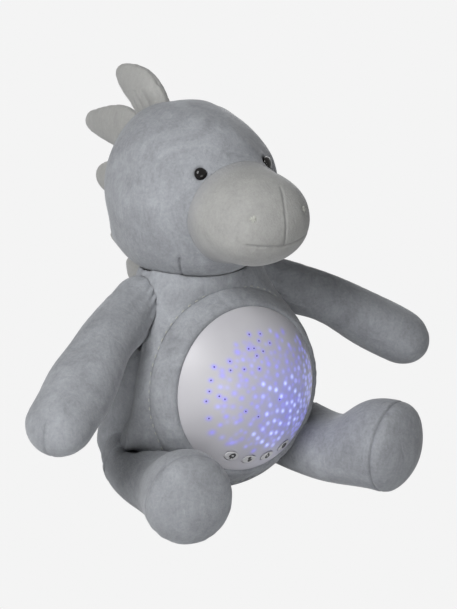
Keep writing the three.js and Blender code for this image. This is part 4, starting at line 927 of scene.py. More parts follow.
def tail_form(grow=0.0):
    stations = [((0, TAIL_START + reach, radius - FLOOR_CUT), wide, radius) for reach, radius, wide in (
        (0, TAIL_RADIUS, TAIL_RADIUS * 1.15), (TAIL_LENGTH / 2, TAIL_RADIUS * 0.75, TAIL_RADIUS * 0.8),
        (TAIL_LENGTH, TAIL_TIP, TAIL_TIP))]
    return stuffed(stations, (0, 0, 1), (4.0, TAIL_TIP), grow, 18, 8, 48)


tail = add_mesh("tail_skin", tail_form(-TAIL_SEAM_IN))
combine(tail, torso_form(-TAIL_ROOT_SINK))
combine(tail, floor_slab())
remesh(tail, TAIL_NET, 3)
skin = points_of(tail)
held = (skin[:, 2] < 1.5) | (inside(skin, torso_form(), TAIL_SEWN) > 0)
inflate(tail, held.astype(float), TAIL_SWELL)
refine(tail, 2)
skin = points_of(tail)
skin[:, 2] = np.maximum(skin[:, 2], FLOOR_CLEAR)
set_points(tail, skin)
tail_seam = [(0, 60, 34), (0, 70, 29), (0, 82, 22), (0, 94, 14)]
seam_and_shade(tail, laid_on(tail, tail_seam), 0.6, 1.0, 0.3, 7, 0.5)
dress(tail, grey_plush, "torso", ["tail"])
tilt = math.radians(40)
tail_spike_root = np.array([0, TAIL_START + TAIL_LENGTH / 2, TAIL_RADIUS * 1.5 - FLOOR_CUT])
add_spike("tail_spike_leaf", tail_spike_root, np.array([0, math.sin(tilt), math.cos(tilt)]), 0.5, 1, 1,
          [torso_form(-TAIL_SINK), tail_form(-TAIL_TOP_SINK)], "torso", "tail_spike")

# Arms: each is two long panels sewn along their edges, stuffed through the shoulder and sewn into
# the body's socket, where the cloth gathers in small folds. The edge seam goes round the hand.


def gather(piece, other, pivot, axis, folds, depth=0.5, reach=5.0):
    """Small folds round the place where a piece is sewn into another one's socket."""
    points, tree = points_of(piece), skin_tree(other)
    side = np.cross(axis, (0, 0, 1))
    side /= np.linalg.norm(side)
    turn = np.arctan2((points - pivot) @ np.cross(side, axis), (points - pivot) @ side)
    close = np.linalg.norm(points - pivot, axis=1) < 45
    away = np.full(len(points), 99.0)
    away[close] = [tree.find_nearest(Vector(p))[3] for p in points[close]]
    wave = np.sin(folds * turn + 1.7 * np.sin(5 * turn)) * depth * np.exp(-(away / reach) ** 2)
    push(piece, wave)


LIMB_SEAM_IN, ARM_NET, ARM_SWELL, ARM_SEWN = 0.8, 2.9, 2.0, 3
ARM_BLEND, ARM_FOLDS = (4, 30), 17
arms = {}
for side, word in SIDES:
    form = arm_form(side, -LIMB_SEAM_IN)
    arm = add_mesh(f"arm_{word}_skin", form)
    remesh(arm, ARM_NET)
    skin = points_of(arm)
    at_root = np.linalg.norm(skin - shoulder(side), axis=1) < SHOULDER_RADIUS + ARM_SEWN
    inflate(arm, at_root.astype(float), ARM_SWELL)
    refine(arm, 2)
    skin = points_of(arm)
    free = np.clip((np.linalg.norm(skin - shoulder(side), axis=1) - 24) / 14, 0, 1)
    push(arm, lumps(skin, 33, 11 + side) * 0.6 * free)
    rows = range(ARM_CAP_RINGS, 2 * ARM_CAP_RINGS + 21)
    under, over = ([form[0][1 + row * ARM_SIDES + k] for row in rows]
                   for k in (ARM_SIDES * 3 // 4, ARM_SIDES // 4))
    seam_and_shade(arm, laid_on(arm, under[2::3] + [form[0][-1]] + over[::-1][:8:3]), 0.5, 0.7, 0.1, 8, 0.4)
    for k, length in ((4, 4), (20, 5), (31, 6), (36, 7), (48, 5)):
        fold = [form[0][1 + row * ARM_SIDES + k] for row in rows[1:1 + length]]
        seam_and_shade(arm, laid_on(arm, fold), 0.5, 2.6, 0.0, 9, 0.06)
    arms[side] = arm
wrinkle = [(-103.4, -24.7, 107.1), (-97.4, -25.6, 109.6), (-88.9, -23.5, 113.2)]
seam_and_shade(arms[-1], laid_on(arms[-1], wrinkle), 0.6, 2.6, 0.0, 9, 0.06)
for side, word in SIDES:
    gather(arms[side], torso, shoulder(side), arm_along(side), ARM_FOLDS)
    joint = (f"arm_{word}", shoulder(side), arm_along(side), *ARM_BLEND)
    dress(arms[side], grey_plush, joint, [f"arm_{word}"])

# Legs: a tube of plush from the hip to a round foot, closed by a sewn sole. The sole's seam pulls
# in all round, and the inside of the thigh lies against the belly.

BELLY_GAP, SOLE_BACK, SOLE_HALF_WIDE, SOLE_HALF_HIGH = 0.4, 14.5, 26.5, 27.5
SOLE_TIGHT = {1: 1.0, -1: 0.4}
LEG_NET, LEG_SWELL, LEG_BLEND, LEG_FOLDS = 3.0, 2.2, (0, 34), 13
legs = {}
for side, word in SIDES:
    leg = add_mesh(f"leg_{word}_skin", leg_form(side, -LIMB_SEAM_IN))
    combine(leg, belly_form(BELLY_GAP))
    combine(leg, floor_slab())
    remesh(leg, LEG_NET)
    skin = points_of(leg)
    full = LEG_REACH[side]
    along = leg_along(side)
    across = np.array([math.cos(LEG_SPLAY), side * math.sin(LEG_SPLAY), 0])
    run = (skin - hip(side)) @ along
    near_belly = inside(skin, belly_form(BELLY_GAP), SEWN_NEAR)
    held = (np.linalg.norm(skin - hip(side), axis=1) < HIP_RADIUS + 3) | (skin[:, 2] < 1.6)
    held = np.maximum(held, near_belly)
    sole_run = full - SOLE_BACK + FOOT_SHIFT[side] @ along
    held = np.maximum(held, 0.8 * np.exp(-((run - sole_run) / 3) ** 2))
    inflate(leg, held, LEG_SWELL)
    refine(leg, 2)
    skin = points_of(leg)
    free = np.clip((np.linalg.norm(skin - hip(side), axis=1) - 32) / 14, 0, 1) * (skin[:, 2] > 3)
    skin = skin + points_of(leg, "normal") * (lumps(skin, 38, 21 + side) * 0.6 * free)[:, None]
    skin[:, 2] = np.maximum(skin[:, 2], FLOOR_CLEAR)
    set_points(leg, skin)
    middle = hip(side) * (1, 1, 0) + FOOT_SHIFT[side] + along * (full - SOLE_BACK)
    ring = [middle + across * math.cos(a) * SOLE_HALF_WIDE + (0, 0, SOLE_HALF_HIGH * (1 + math.sin(a)))
            for a in np.linspace(-0.42 * math.pi, 1.42 * math.pi, 40)]
    tight = SOLE_TIGHT[side]
    seam_and_shade(leg, laid_on(leg, ring), 0.9 * tight, 0.7, 0.18, 8.5, 0.65 * tight)
    skin = points_of(leg)
    outer = np.clip((skin - hip(side))[:, 0] * side / 16, 0, 1) * np.clip(skin[:, 2] / 6, 0, 1)
    thigh = np.exp(-(((skin - hip(side)) @ along - 16) / 27) ** 2)
    skin[:, 0] += side * THIGH_FULL * outer * thigh
    set_points(leg, skin)
    legs[side] = leg
for side, word in SIDES:
    gather(legs[side], torso, hip(side), leg_along(side), LEG_FOLDS)
    joint = (f"leg_{word}", hip(side), leg_along(side), *LEG_BLEND)
    dress(legs[side], grey_plush, joint, [f"leg_{word}", f"sole_{word}"])

# Body again, with the head and the limbs in place: its skin is drawn on to theirs, as the seams
# between them hold it, sinks in a fold down each flank, is painted with shade in these folds and on
# its sides under the arms, and keeps clear of the lamp's room.


def clear_of(piece, others, gap=0.4, reach=9.0, draw=0.0):
    """Moves a skin out of its neighbours, and draws it on to them where it comes close, so that
    they touch without crossing."""
    points = points_of(piece)
    for other in others:
        tree, box = skin_tree(other), points_of(other)
        edge = max(gap, draw)
        low, high = box.min(0) - edge, box.max(0) + edge
        for i in np.nonzero(((points > low) & (points < high)).all(1))[0]:
            place, out, _, away = tree.find_nearest(Vector(points[i]))
            if away < reach and (Vector(points[i]) - place).dot(out) < gap:
                points[i] = place + out * gap
            elif away < draw:
                pull = 1 - (away - gap) / (draw - gap)
                points[i] += (np.array(place + out * gap) - points[i]) * pull ** 2 * (3 - 2 * pull)
    set_points(piece, points)


skin = points_of(torso)
free = 1 - torso_held(skin)
push(torso, lumps(skin, 40, 9) * 0.6 * free)
FOLD_DEEP, FOLD_WIDE, SKIN_GAP, SKIN_REACH, SKIN_DRAW = 7.0, 9.0, 0.35, 12.0, 5.5
flank = [(50, -4, 97), (58, -11, 90), (62.5, -13, 82), (65, -13.5, 74), (66.5, -12.5, 66),
         (66.3, -9, 57), (65.5, -4, 47), (66, 0, 39)]
# The fold down each flank is darkened with painted shade, as well as drawn in.
for side in (1, -1):
    seam_and_shade(torso, laid_on(torso, np.array(flank) * (side, 1, 1)), FOLD_DEEP, FOLD_WIDE, 0.0, 9, 0.4)
skin = points_of(torso)
ease(torso, np.clip((skin[:, 2] - 122) / 6, 0, 1), 12)
clear_of(torso, [head, *arms.values(), *legs.values()], SKIN_GAP, SKIN_REACH, SKIN_DRAW)
skin = points_of(torso)
# Painted shade on each side of the body below and behind the arm, where the arm shadows it.
under_arm_shade = (np.clip((abs(skin[:, 0]) - 50) / 8, 0, 1) * np.clip((skin[:, 1] + 16) / 10, 0, 1)
             * np.clip((104 - skin[:, 2]) / 20, 0, 1) * np.clip((46 - skin[:, 1]) / 20, 0, 1))
mark(torso, "seam_and_shade", 0.4 * under_arm_shade)
skin = points_of(torso)
skin[:, 2] = np.maximum(skin[:, 2], 0)
lamp = to_lamp(skin)
ring = np.hypot(lamp[:, 0], lamp[:, 1])
room = np.where(lamp[:, 2] > -14.8, HEM_OUTER, DOME_RADIUS + 0.4)
short = (ring < room) & (lamp[:, 2] > -50) & (ring > 20)
lamp[short, :2] *= (room[short] / ring[short])[:, None]
skin[short] = from_lamp(lamp[short])
set_points(torso, skin)

# Lamp hem: a band of plush drawn over the lamp's ring and sewn down flush to the belly, so that
# the cloth ends close against the dome. Single stitches show along its outer edge.


def turned_ring(profile, sides=160):
    """A closed ring round Z whose profile closes on itself."""
    profile = np.array(profile, float)
    turn = np.linspace(0, 2 * math.pi, sides, endpoint=False)
    points = np.stack([profile[:, :1] * np.cos(turn), profile[:, :1] * np.sin(turn),
                       np.repeat(profile[:, 1:], sides, 1)], axis=2).reshape(-1, 3)
    count = len(profile)
    faces = [(a * sides + k, a * sides + (k + 1) % sides,
              (a + 1) % count * sides + (k + 1) % sides, (a + 1) % count * sides + k)
             for a in range(count) for k in range(sides)]
    return points, faces


HEM_PROFILE = [
    (48.98, -0.55), (48.98, -0.2), (49.9, 0.05), (51.2, 0.1), (52.5, -0.7), (53.8, -2.3), (55.1, -4.3),
    (56.6, -6.9), (58.0, -9.7), (59.0, -12.1), (59.35, -13.3), (59.1, -13.9), (58.4, -13.4),
    (57.3, -11.0), (55.6, -7.9), (54.0, -5.2), (52.6, -3.2), (51.95, -1.9), (51.85, -0.9),
    (51.3, -0.68), (49.8, -0.68)]
HEM_SEWN, HEM_SEAM, HEM_PITCH, HEM_EDGE_RISE = 60.1, 59.3, 5.2, -13.6
points, faces = turned_ring(HEM_PROFILE)
hem = add_mesh("lamp_hem", (from_lamp(points), faces))
refine(hem, 2)
lamp = to_lamp(points_of(hem))
turn = np.arctan2(lamp[:, 1], lamp[:, 0])
ring = np.hypot(lamp[:, 0], lamp[:, 1])
ripple = 0.10 * np.sin(turn * 41 + 2 * np.sin(turn * 7)) + 0.12 * np.sin(turn * 9 + 1)
crown = np.clip((ring - 50.5) / 3, 0, 1) * np.clip((59.0 - ring) / 2, 0, 1)
push(hem, crown * ripple)
mark(hem, "seam_and_shade", 0.15 * np.exp(-((ring - HEM_SEAM) / 0.5) ** 2))
dress(hem, grey_plush, "torso", [])
turn = np.linspace(0, 2 * math.pi, 121)
edge = np.c_[HEM_SEWN * np.cos(turn), HEM_SEWN * np.sin(turn), np.full(121, HEM_EDGE_RISE)]
places, ways = along_path(laid_on(torso, from_lamp(edge)), HEM_PITCH)
sew("hem_stitches", places, ways, STITCH_LONG, 0.65, "torso")

# Dome: a milky moulded cap, pierced with small star holes over the lamps. The holes are small dark
# discs laid on its skin, whose colour is painted shade of the dark inside of each hole. The light
# that comes out is painted on the dome, as its emission and as a violet tint in its base colour:
# blue-white points towards the middle, and violet rings round the dark holes at the left.

DOME_RISE, DOME_WALL, DOME_SKIRT = 24.0, 1.8, 5.0
DOME_SPHERE = (DOME_RADIUS ** 2 + DOME_RISE ** 2) / (2 * DOME_RISE)
DOME_DROP = DOME_SPHERE - DOME_RISE
BUTTON_RING, BUTTON_LONG, BUTTON_WIDE, BUTTON_PROUD = DOME_RADIUS - 8.5, 4.4, 2.7, 0.9
BUTTON_TURNS = [math.radians(step * 18.5 - 90) for step in (-1.5, -0.5, 0.5, 1.5)]


def dome_height(ring, proud=0.0):
    return np.sqrt((DOME_SPHERE + proud) ** 2 - np.asarray(ring) ** 2) - DOME_DROP


def oval_column(turn, grow, low, high, count=48):
    """An upright oval column at a button's place."""
    a = np.linspace(0, 2 * math.pi, count, endpoint=False)
    x = BUTTON_RING + (BUTTON_WIDE + grow) * np.cos(a)
    y = (BUTTON_LONG + grow) * np.sin(a)
    flat = np.stack([x * math.cos(turn) - y * math.sin(turn),
                     x * math.sin(turn) + y * math.cos(turn)], 1)
    points = np.vstack([np.c_[flat, np.full(count, low)], np.c_[flat, np.full(count, high)]])
    walls = [(k, (k + 1) % count, count + (k + 1) % count, count + k) for k in range(count)]
    return points, walls + [tuple(range(count))[::-1], tuple(range(count, 2 * count))]


outer = [(ring, float(dome_height(ring))) for ring in np.linspace(0, DOME_RADIUS - 0.25, 96)]
rim = [(DOME_RADIUS - 0.05, 0.08), (DOME_RADIUS, -0.2), (DOME_RADIUS, -DOME_SKIRT),
       (DOME_RADIUS - DOME_WALL, -DOME_SKIRT), (DOME_RADIUS - DOME_WALL, -0.5)]
inner_rim = DOME_RADIUS - DOME_WALL - 0.2
inner = [(ring, float(dome_height(ring, -DOME_WALL))) for ring in np.linspace(inner_rim, 0, 16)]
points, faces = turned(outer + rim + inner, 300)
dome = add_mesh("star_dome", (from_lamp(points), faces))
for turn in BUTTON_TURNS:
    column, walls = oval_column(turn, 0.3, -DOME_SKIRT - 2, DOME_RISE + 2)
    combine(dome, (from_lamp(column), walls))

rng = np.random.default_rng(4)
pinholes = [(-31.3, 19.3), (-34.1, 11.9), (-35.5, 5.7), (-37.2, 0), (-28.1, 0.8), (-30.9, 2.7),
            (-35.7, -10.3), (-16.5, -7.4), (-6.4, 16.2), (-8.4, -11.6), (-22.7, 21.9), (-23.4, 17),
            (-6.7, 35.2), (0.6, 34.7), (-2, 31.2), (5.1, 29.1), (-10.1, 27.7), (-6.7, 27.6),
            (-6.2, 23.4), (-1.3, 25.4), (-15.7, 16.9), (6.2, -3.4)]
glows = [(-16.6, 30.5), (-17.2, 26.5), (-15.2, 22.2), (-28.1, 14.2), (-30, 8), (-31.7, -3.4),
         (-27.2, -9.6), (-29.8, -14.6), (-33.2, -19.2), (-27.6, -22.7), (-23.6, -27.1),
         (-21.4, -26.8), (-19.2, -26.4), (-21.5, -13.7), (-19.1, -12.4), (-17.9, -19.3),
         (-12.4, -30.3), (-12.8, -15.7), (-5.9, -34.2), (-23.9, -3.9), (-19, 0.6), (-15.3, 10.8),
         (-10.9, 18.4), (0.4, 18), (-1, 13.9), (5.9, 15.8), (5.5, 11.1), (11.3, 25.3), (8.8, 35.2),
         (12.6, 32), (19, 33.2), (20.2, 25.7), (21.1, 23.4), (30.5, 21.3), (15, 17.2), (21.2, 11.7),
         (27.2, 17.2), (10.5, 12.2), (-20.2, 8), (-22.9, 3.9), (-11.6, 5.7), (-10.8, 0.7),
         (-9.7, -5.4)]
lights = [(-0.8, 4.3), (3.6, 2.6), (-5.7, 0.1), (-5.1, 7.3), (-0.7, -5.7), (9.3, -11), (4.8, -10.1),
          (3.5, -16.1), (-2.7, -10.9), (8.7, -18.7), (12.4, -6.9), (16.1, -12.3), (19.7, -9.5),
          (14.5, 1.7), (19.9, -0.9), (11.2, 5.3), (17.5, 8), (2.9, -24), (6.9, -24.3), (-4.1, -20.1),
          (-9.6, -22.5), (-6.1, -25.7), (-2.3, -28.6), (-1.2, -16.9), (10.8, -29), (16.5, -20.4),
          (21.9, -19), (24.3, -14.8), (23.7, -7.3), (24.4, -4.4), (2.6, -31.8), (7.7, -32.9),
          (7.6, -1.8)]
stars = [(*place, rng.uniform(0.5, 0.8), rng.uniform(1.2, 1.6), 0.0) for place in pinholes]
stars += [(*place, rng.uniform(0.35, 0.75), rng.uniform(1.2, 1.8), rng.uniform(0, 0.2))
          for place in glows]
stars += [(*place, rng.uniform(0.4, 0.65), rng.uniform(1.6, 2.2), rng.uniform(0.45, 0.9))
          for place in lights]
STARS_OUTER, STARS_APART, FAINT_APART, LIGHT_CORE = 43, 3.2, 3.0, 1.15


def apart(u, w):
    """How far a place on the dome is from the nearest star."""
    return min(math.hypot(u - star[0], w - star[1]) for star in stars)


for _ in range(700):
    u, w = rng.uniform(-30, 30), rng.uniform(-30, 34)
    if math.hypot(u, w) < 34 and apart(u, w) > FAINT_APART:
        stars.append((u, w, rng.uniform(0.2, 0.5), rng.uniform(1.1, 1.9), rng.uniform(0, 0.1)))
for _ in range(6000):
    u, w = rng.uniform(-30, 45), rng.uniform(-40, 40)
    over_buttons = any(math.hypot(u - BUTTON_RING * math.cos(t), w - BUTTON_RING * math.sin(t)) < 8.5
                       for t in BUTTON_TURNS)
    if (0.85 * u - 0.35 * w > 15 and math.hypot(u, w) < STARS_OUTER and not over_buttons
            and apart(u, w) > STARS_APART):
        near_middle = math.exp(-(((u - 16) / 18) ** 2 + ((w + 8) / 16) ** 2))
        stars.append((u, w, rng.uniform(0.5, 0.9), rng.uniform(1.2, 1.7),
                      rng.uniform(0.1, 0.35) + 0.45 * near_middle))
spot = points_of(dome)
lamp = to_lamp(spot)
outside = lamp[:, 2] > dome_height(np.minimum(np.hypot(lamp[:, 0], lamp[:, 1]), DOME_RADIUS), -0.5)
violet, white = np.zeros(len(spot)), np.zeros(len(spot))
for u, w, halo, wide, core in stars:
    away = np.hypot(lamp[:, 0] - u, lamp[:, 1] - w)
    near = away < 7
    violet[near] += halo * np.exp(-(away[near] / wide) ** 2)
    white[near] += core * np.exp(-(away[near] / LIGHT_CORE) ** 2)
violet, white = np.minimum(violet, 1), np.minimum(white, 1)
haze = np.exp(-(((lamp[:, 0] - 14) / 24) ** 2 + ((lamp[:, 1] + 8) / 26) ** 2))
for name, amount in (("violet", violet), ("white", white), ("haze", haze)):
    mark(dome, name, amount * outside)

milky, v, shader = start_material("dome_milky", Roughness=0.42, Emission_Strength=1.0)
place = v.place()
cloud = v.noise(place, 40, 2.0)
fine = v.noise(place, 900, 2.0)
ring_light, point_light, soft_light = v.marked("violet"), v.marked("white"), v.marked("haze")
plain = cloud.mixed(srgb("b4b3b8"), srgb("bebdc1"))
# Painted light: the lamps' violet glow also tints the dome's base colour, as a haze towards the middle
# and as rings round the holes.
haze_painted = (soft_light * 0.45).mixed(plain, srgb("8f90d6"))
rings_painted = (ring_light * 0.8).limited().mixed(haze_painted, srgb("6c62e8"))
rays_out = (ring_light * 0.42).mixed((0, 0, 0, 1), (0.30, 0.24, 1.0, 1))
hazed = (soft_light * 0.2).mixed(rays_out, (0.20, 0.24, 0.8, 1), "ADD")
bright = (point_light * 0.8).mixed(hazed, (0.6, 0.78, 1.0, 1), "ADD")
grain = v.bump(0.06, fine, 0.3)
finish_material(milky, shader, Base_Color=rings_painted, Emission_Color=bright, Roughness=0.38 + cloud * 0.1,
                Normal=grain)
dress(dome, milky, "torso", ["dome_lens"])


# Painted shade: each hole is a small disc on the dome's skin whose dark navy colour stands for the dark
# inside of the hole, with a faint painted violet glow.
hole_shade_disc, v, shader = start_material("hole_shade_disc", Roughness=0.5, Emission_Strength=1.0)
place = v.place()
fine = v.noise(place, 900, 2.0)
finish_material(hole_shade_disc, shader, Base_Color=fine.mixed(srgb("17134a"), srgb("262064")),
                Emission_Color=fine.mixed((0.01, 0.005, 0.06, 1), (0.03, 0.02, 0.14, 1)))
HOLE_WIDE, HOLE_DEEP = 0.9, 0.12
mouths = np.array(pinholes)
on_dome = np.c_[mouths, dome_height(np.hypot(mouths[:, 0], mouths[:, 1]), 0.02)]
outwards = on_dome + (0, 0, DOME_DROP)
mouth = laying_tree("star_holes", "GeometryNodeMeshCylinder",
                    {"Vertices": 12, "Radius": 1.0, "Depth": 2.0})
holes = lay_pieces("star_holes", mouth, from_lamp(on_dome), outwards @ lamp_turn().T, HOLE_DEEP,
                   HOLE_WIDE, hole_shade_disc)
dress(holes, hole_shade_disc, "torso", [])

# Buttons: four oval push buttons of moulded white plastic, which slide in holes in the dome's lower
# edge, each over its own switch. Their small printed signs are for power, tune, lamp and timer.

soft_white, v, shader = start_material("button_plastic", Roughness=0.4)
place = v.place()
fine = v.noise(place, 700, 3.0)
grain = v.bump(0.12, fine, 0.2)
finish_material(soft_white, shader, Base_Color=fine.mixed(srgb("b9b9bc"), srgb("c9c9cb")),
                Roughness=0.36 + fine * 0.12, Normal=grain)
ink, v, shader = start_material("button_ink", Roughness=0.5)
place = v.place()
fine = v.noise(place, 1800, 2.0)
finish_material(ink, shader, Base_Color=fine.mixed(srgb("141416"), srgb("232327")),
                Roughness=0.45 + fine * 0.2)


def on_button(turn, flat, proud):
    """Points given along and across a button, raised on to its domed top."""
    flat = np.asarray(flat, float)
    x, y = BUTTON_RING + flat[:, 1], flat[:, 0]
    u, w = x * math.cos(turn) - y * math.sin(turn), x * math.sin(turn) + y * math.cos(turn)
    return np.c_[u, w, dome_height(np.hypot(u, w), BUTTON_PROUD) + proud]


def stroke(path, width):
    """The outline of a printed line of even width."""
    path = np.array(path, float)
    ahead = np.gradient(path, axis=0)
    aside = np.c_[-ahead[:, 1], ahead[:, 0]] / np.linalg.norm(ahead, axis=1)[:, None] * width / 2
    return path + aside, path - aside


def arc(x, y, radius, start, end, count=14):
    a = np.radians(np.linspace(start, end, count))
    return np.c_[x + radius * np.cos(a), y + radius * np.sin(a)]


INK_WIDE, INK_LEVELS = 1.1, (0.02, 0.10)
PLUNGER_LOW, PLUNGER_ROWS = -9.5, (-9.5, 0.0, 4.0)
SIGNS = [
    [arc(0, 0, 1.35, 125, 415), [(0, 0.2), (0, 1.9)]],
    [arc(-0.7, -0.9, 0.45, 0, 350), [(-0.3, -0.9), (-0.3, 1.3)], [(-0.3, 1.3), (0.9, 1.0)],
     [(0.9, 1.0), (0.9, -0.4)]],
    [arc(0, 0.3, 1.1, -50, 230), [(-0.5, -1.1), (0.5, -1.1)], [(-0.4, -1.7), (0.4, -1.7)]],
    [arc(0, 0, 1.4, 0, 350), [(0, 0), (0, 0.9)], [(0, 0), (0.7, 0)]],
]
for i, (turn, sign) in enumerate(zip(BUTTON_TURNS, SIGNS), 1):
    count = 40
    a = np.linspace(0, 2 * math.pi, count, endpoint=False)
    rim = np.c_[BUTTON_LONG * np.sin(a), BUTTON_WIDE * np.cos(a)]
    rows = [on_button(turn, rim, 0) * (1, 1, 0) + (0, 0, low) for low in PLUNGER_ROWS]
    for share, sink in ((1.0, 0.75), (0.985, 0.35), (0.94, 0.12), (0.86, 0.02), (0.6, 0), (0.3, 0)):
        rows.append(on_button(turn, rim * share, -sink))
    middle = on_button(turn, [(0, 0)], 0)[0]
    points = np.vstack([[(middle[0], middle[1], PLUNGER_LOW)], *rows, [middle]])
    faces = ring_faces(len(rows), count, len(points) - 1)
    button = add_mesh(f"push_button_{i}", (from_lamp(points), faces))
    refine(button, 1)
    dress(button, soft_white, f"button_{i}", [f"button_{i}"])
    points, faces = [], []
    for line in sign:
        left, right = stroke(line, INK_WIDE)
        for level in INK_LEVELS:
            points += [*on_button(turn, np.vstack([left, right]), level)]
        base, n = len(points) - 4 * len(left), len(left)
        outline = [*range(n), *range(2 * n - 1, n - 1, -1)]
        for j in range(2 * n):
            p, q = outline[j], outline[(j + 1) % (2 * n)]
            faces.append((base + p, base + q, base + 2 * n + q, base + 2 * n + p))
        for j in range(n - 1):
            low, top = base + j, base + 2 * n + j
            faces += [(top, top + 1, top + n + 1, top + n), (low, low + n, low + n + 1, low + 1)]
    sign_piece = add_mesh(f"button_sign_{i}", (from_lamp(np.array(points)), faces))
    dress(sign_piece, ink, f"button_{i}", [])

# Back flap: a quilted patch of plush that hangs over the way to the batteries. It is sewn to the
# body along its top, edged with stitches, and held down by a strip of hook tape.

FLAP_HALF, FLAP_LOW, FLAP_HIGH, FLAP_CORNER = 32.0, 46.005, 92.005, 8.0
FLAP_LIFT, FLAP_THICK, QUILT_DEEP, FLAP_PITCH = 1.9, 1.5, 0.35, 3.6
STRIP_HALF, STRIP_TALL, STRIP_SINK = 26, 16, 1.3
wide_count, tall_count = 56, 42
back_points, back_faces = torso_form()
back_tree = bvhtree.BVHTree.FromPolygons([Vector(p) for p in back_points], back_faces)


def flap_row(x, z):
    """Place and outward way on the body's back at a width and a height."""
    place, out, _, _ = back_tree.ray_cast(Vector((x, 200, z)), Vector((0, -1, 0)))
    return np.array(place[:]), np.array(out[:]) * (1 if out.y > 0 else -1)


def rounded(s, t):
    """Square grid shares to a rectangle with rounded corners, as half sizes and edge distance."""
    half_tall = (FLAP_HIGH - FLAP_LOW) / 2
    x, z = s * FLAP_HALF, t * half_tall
    dx, dz = abs(x) - (FLAP_HALF - FLAP_CORNER), abs(z) - (half_tall - FLAP_CORNER)
    if dx > 0 and dz > 0:
        reach = math.hypot(dx, dz)
        far = max(dx, dz)
        x = math.copysign(FLAP_HALF - FLAP_CORNER + dx * far / reach, x)
        z = math.copysign(half_tall - FLAP_CORNER + dz * far / reach, z)
        edge = FLAP_CORNER - far
    else:
        edge = min(FLAP_HALF - abs(x), half_tall - abs(z))
    return x, (FLAP_LOW + FLAP_HIGH) / 2 + z, edge


front, rear, edges = [], [], []
for t in np.linspace(-1, 1, tall_count):
    for s in np.linspace(-1, 1, wide_count):
        x, z, edge = rounded(s, t)
        place, out = flap_row(x, z)
        crown = math.sqrt(min(edge / 3.5, 1) * (2 - min(edge / 3.5, 1)))
        quilted = QUILT_DEEP * math.sin(x / 5.2) * math.sin(z / 6.1)
        rear.append(place + out * (FLAP_LIFT - 0.2 * crown))
        front.append(place + out * (FLAP_LIFT + 0.05 + (FLAP_THICK + quilted) * crown))
        edges.append(edge)
n = wide_count * tall_count


def at(i, j):
    return j * wide_count + i


faces = [(at(i, j), at(i + 1, j), at(i + 1, j + 1), at(i, j + 1))
         for i in range(wide_count - 1) for j in range(tall_count - 1)]
faces += [tuple(n + k for k in reversed(face)) for face in faces]
border = ([at(i, 0) for i in range(wide_count)] + [at(wide_count - 1, j) for j in range(1, tall_count)]
          + [at(i, tall_count - 1) for i in range(wide_count - 2, -1, -1)]
          + [at(0, j) for j in range(tall_count - 2, 0, -1)])
faces += [(a, n + a, n + b, b) for a, b in zip(border, border[1:] + border[:1])]
flap = add_mesh("flap_panel", (np.array(front + rear), faces))
refine(flap, 1)
stitch_line = []
for s, t in ([(s, -0.9) for s in np.linspace(-0.93, 0.93, 30)]
             + [(0.93, t) for t in np.linspace(-0.85, 0.85, 20)]
             + [(s, 0.9) for s in np.linspace(0.93, -0.93, 30)]
             + [(-0.93, t) for t in np.linspace(0.85, -0.9, 20)]):
    x, z, _ = rounded(s, t)
    place, out = flap_row(x, z)
    stitch_line.append(place + out * 3.2)
line = laid_on(flap, stitch_line)
seam_and_shade(flap, line, 0.7, 1.0, 0.2, 4.5, 0.6)
places, ways = along_path(laid_on(flap, stitch_line), FLAP_PITCH)
sew("flap_stitches", places, ways, STITCH_LONG, 0.55, "rear_flap")
dress(flap, grey_plush, "rear_flap", ["rear_flap"])

tape, v, shader = start_material("hook_tape", Roughness=0.85, Sheen_Weight=0.2)
place = v.place()
loops = v.node("ShaderNodeTexVoronoi", {}, {"Vector": place, "Scale": 1100.0})
weave = v.noise(place, 260, 3.0)
nap = v.bump(0.8, loops, 0.5)
woven = (loops * 0.7 + weave * 0.5).limited()
finish_material(tape, shader, Base_Color=woven.mixed(srgb("55585d"), srgb("84888e")), Normal=nap)

# The body's skin sinks a little behind the strip of loop tape that is sewn to it
skin = points_of(torso)
strip_low = FLAP_LOW + 4
behind = ((abs(skin[:, 0]) < STRIP_HALF) & (skin[:, 2] > strip_low - 2) & (skin[:, 1] > 0)
          & (skin[:, 2] < strip_low + STRIP_TALL) & (to_lamp(skin)[:, 2] < -LAMP_DEEP - 1))
skin[behind] -= points_of(torso, "normal")[behind] * STRIP_SINK
set_points(torso, skin)

# Lamp works: the moulded housing, deck and battery door, the board with its lights and switches,
# the cells with their contacts, the speaker and the leads. These keep the CAD parts' shapes.


def dress_parts(finish, *names):
    for name in names:
        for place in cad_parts[name].material_slots:
            place.material = finish


def moulded(name, low, high, roughness=0.45, grain_size=900.0, bump=0.15, **constants):
    """Moulded plastic with a fine eroded grain and faint flow marks."""
    made, v, shader = start_material(name, Roughness=roughness, **constants)
    place = v.place()
    fine, flow = v.noise(place, grain_size, 3.0), v.noise(place, 35, 2.0, 0.5, 1.2)
    relief = v.bump(bump, fine, 0.2)
    tone = (0.5 + (flow - 0.5) * 0.8 + (fine - 0.5) * 0.4).limited()
    return finish_material(made, shader, Base_Color=tone.mixed(srgb(low), srgb(high)),
                           Roughness=(roughness - 0.06) + fine * 0.12, Normal=relief)


def metal(name, low, high, roughness, scale):
    """Rolled metal: fine streaks and a little tarnish."""
    made, v, shader = start_material(name, Metallic=1.0)
    place = v.place()
    drawn = v.stretched(place, (1.0, 8.0, 8.0))
    streaks, spots = v.noise(drawn, scale, 3.0), v.noise(place, 260, 2.0)
    relief = v.bump(0.15, streaks, 0.1)
    tarnished = (spots * 0.8).limited().mixed(srgb(high), srgb(low))
    return finish_material(made, shader, Base_Color=tarnished,
                           Roughness=roughness + streaks * 0.15, Normal=relief)


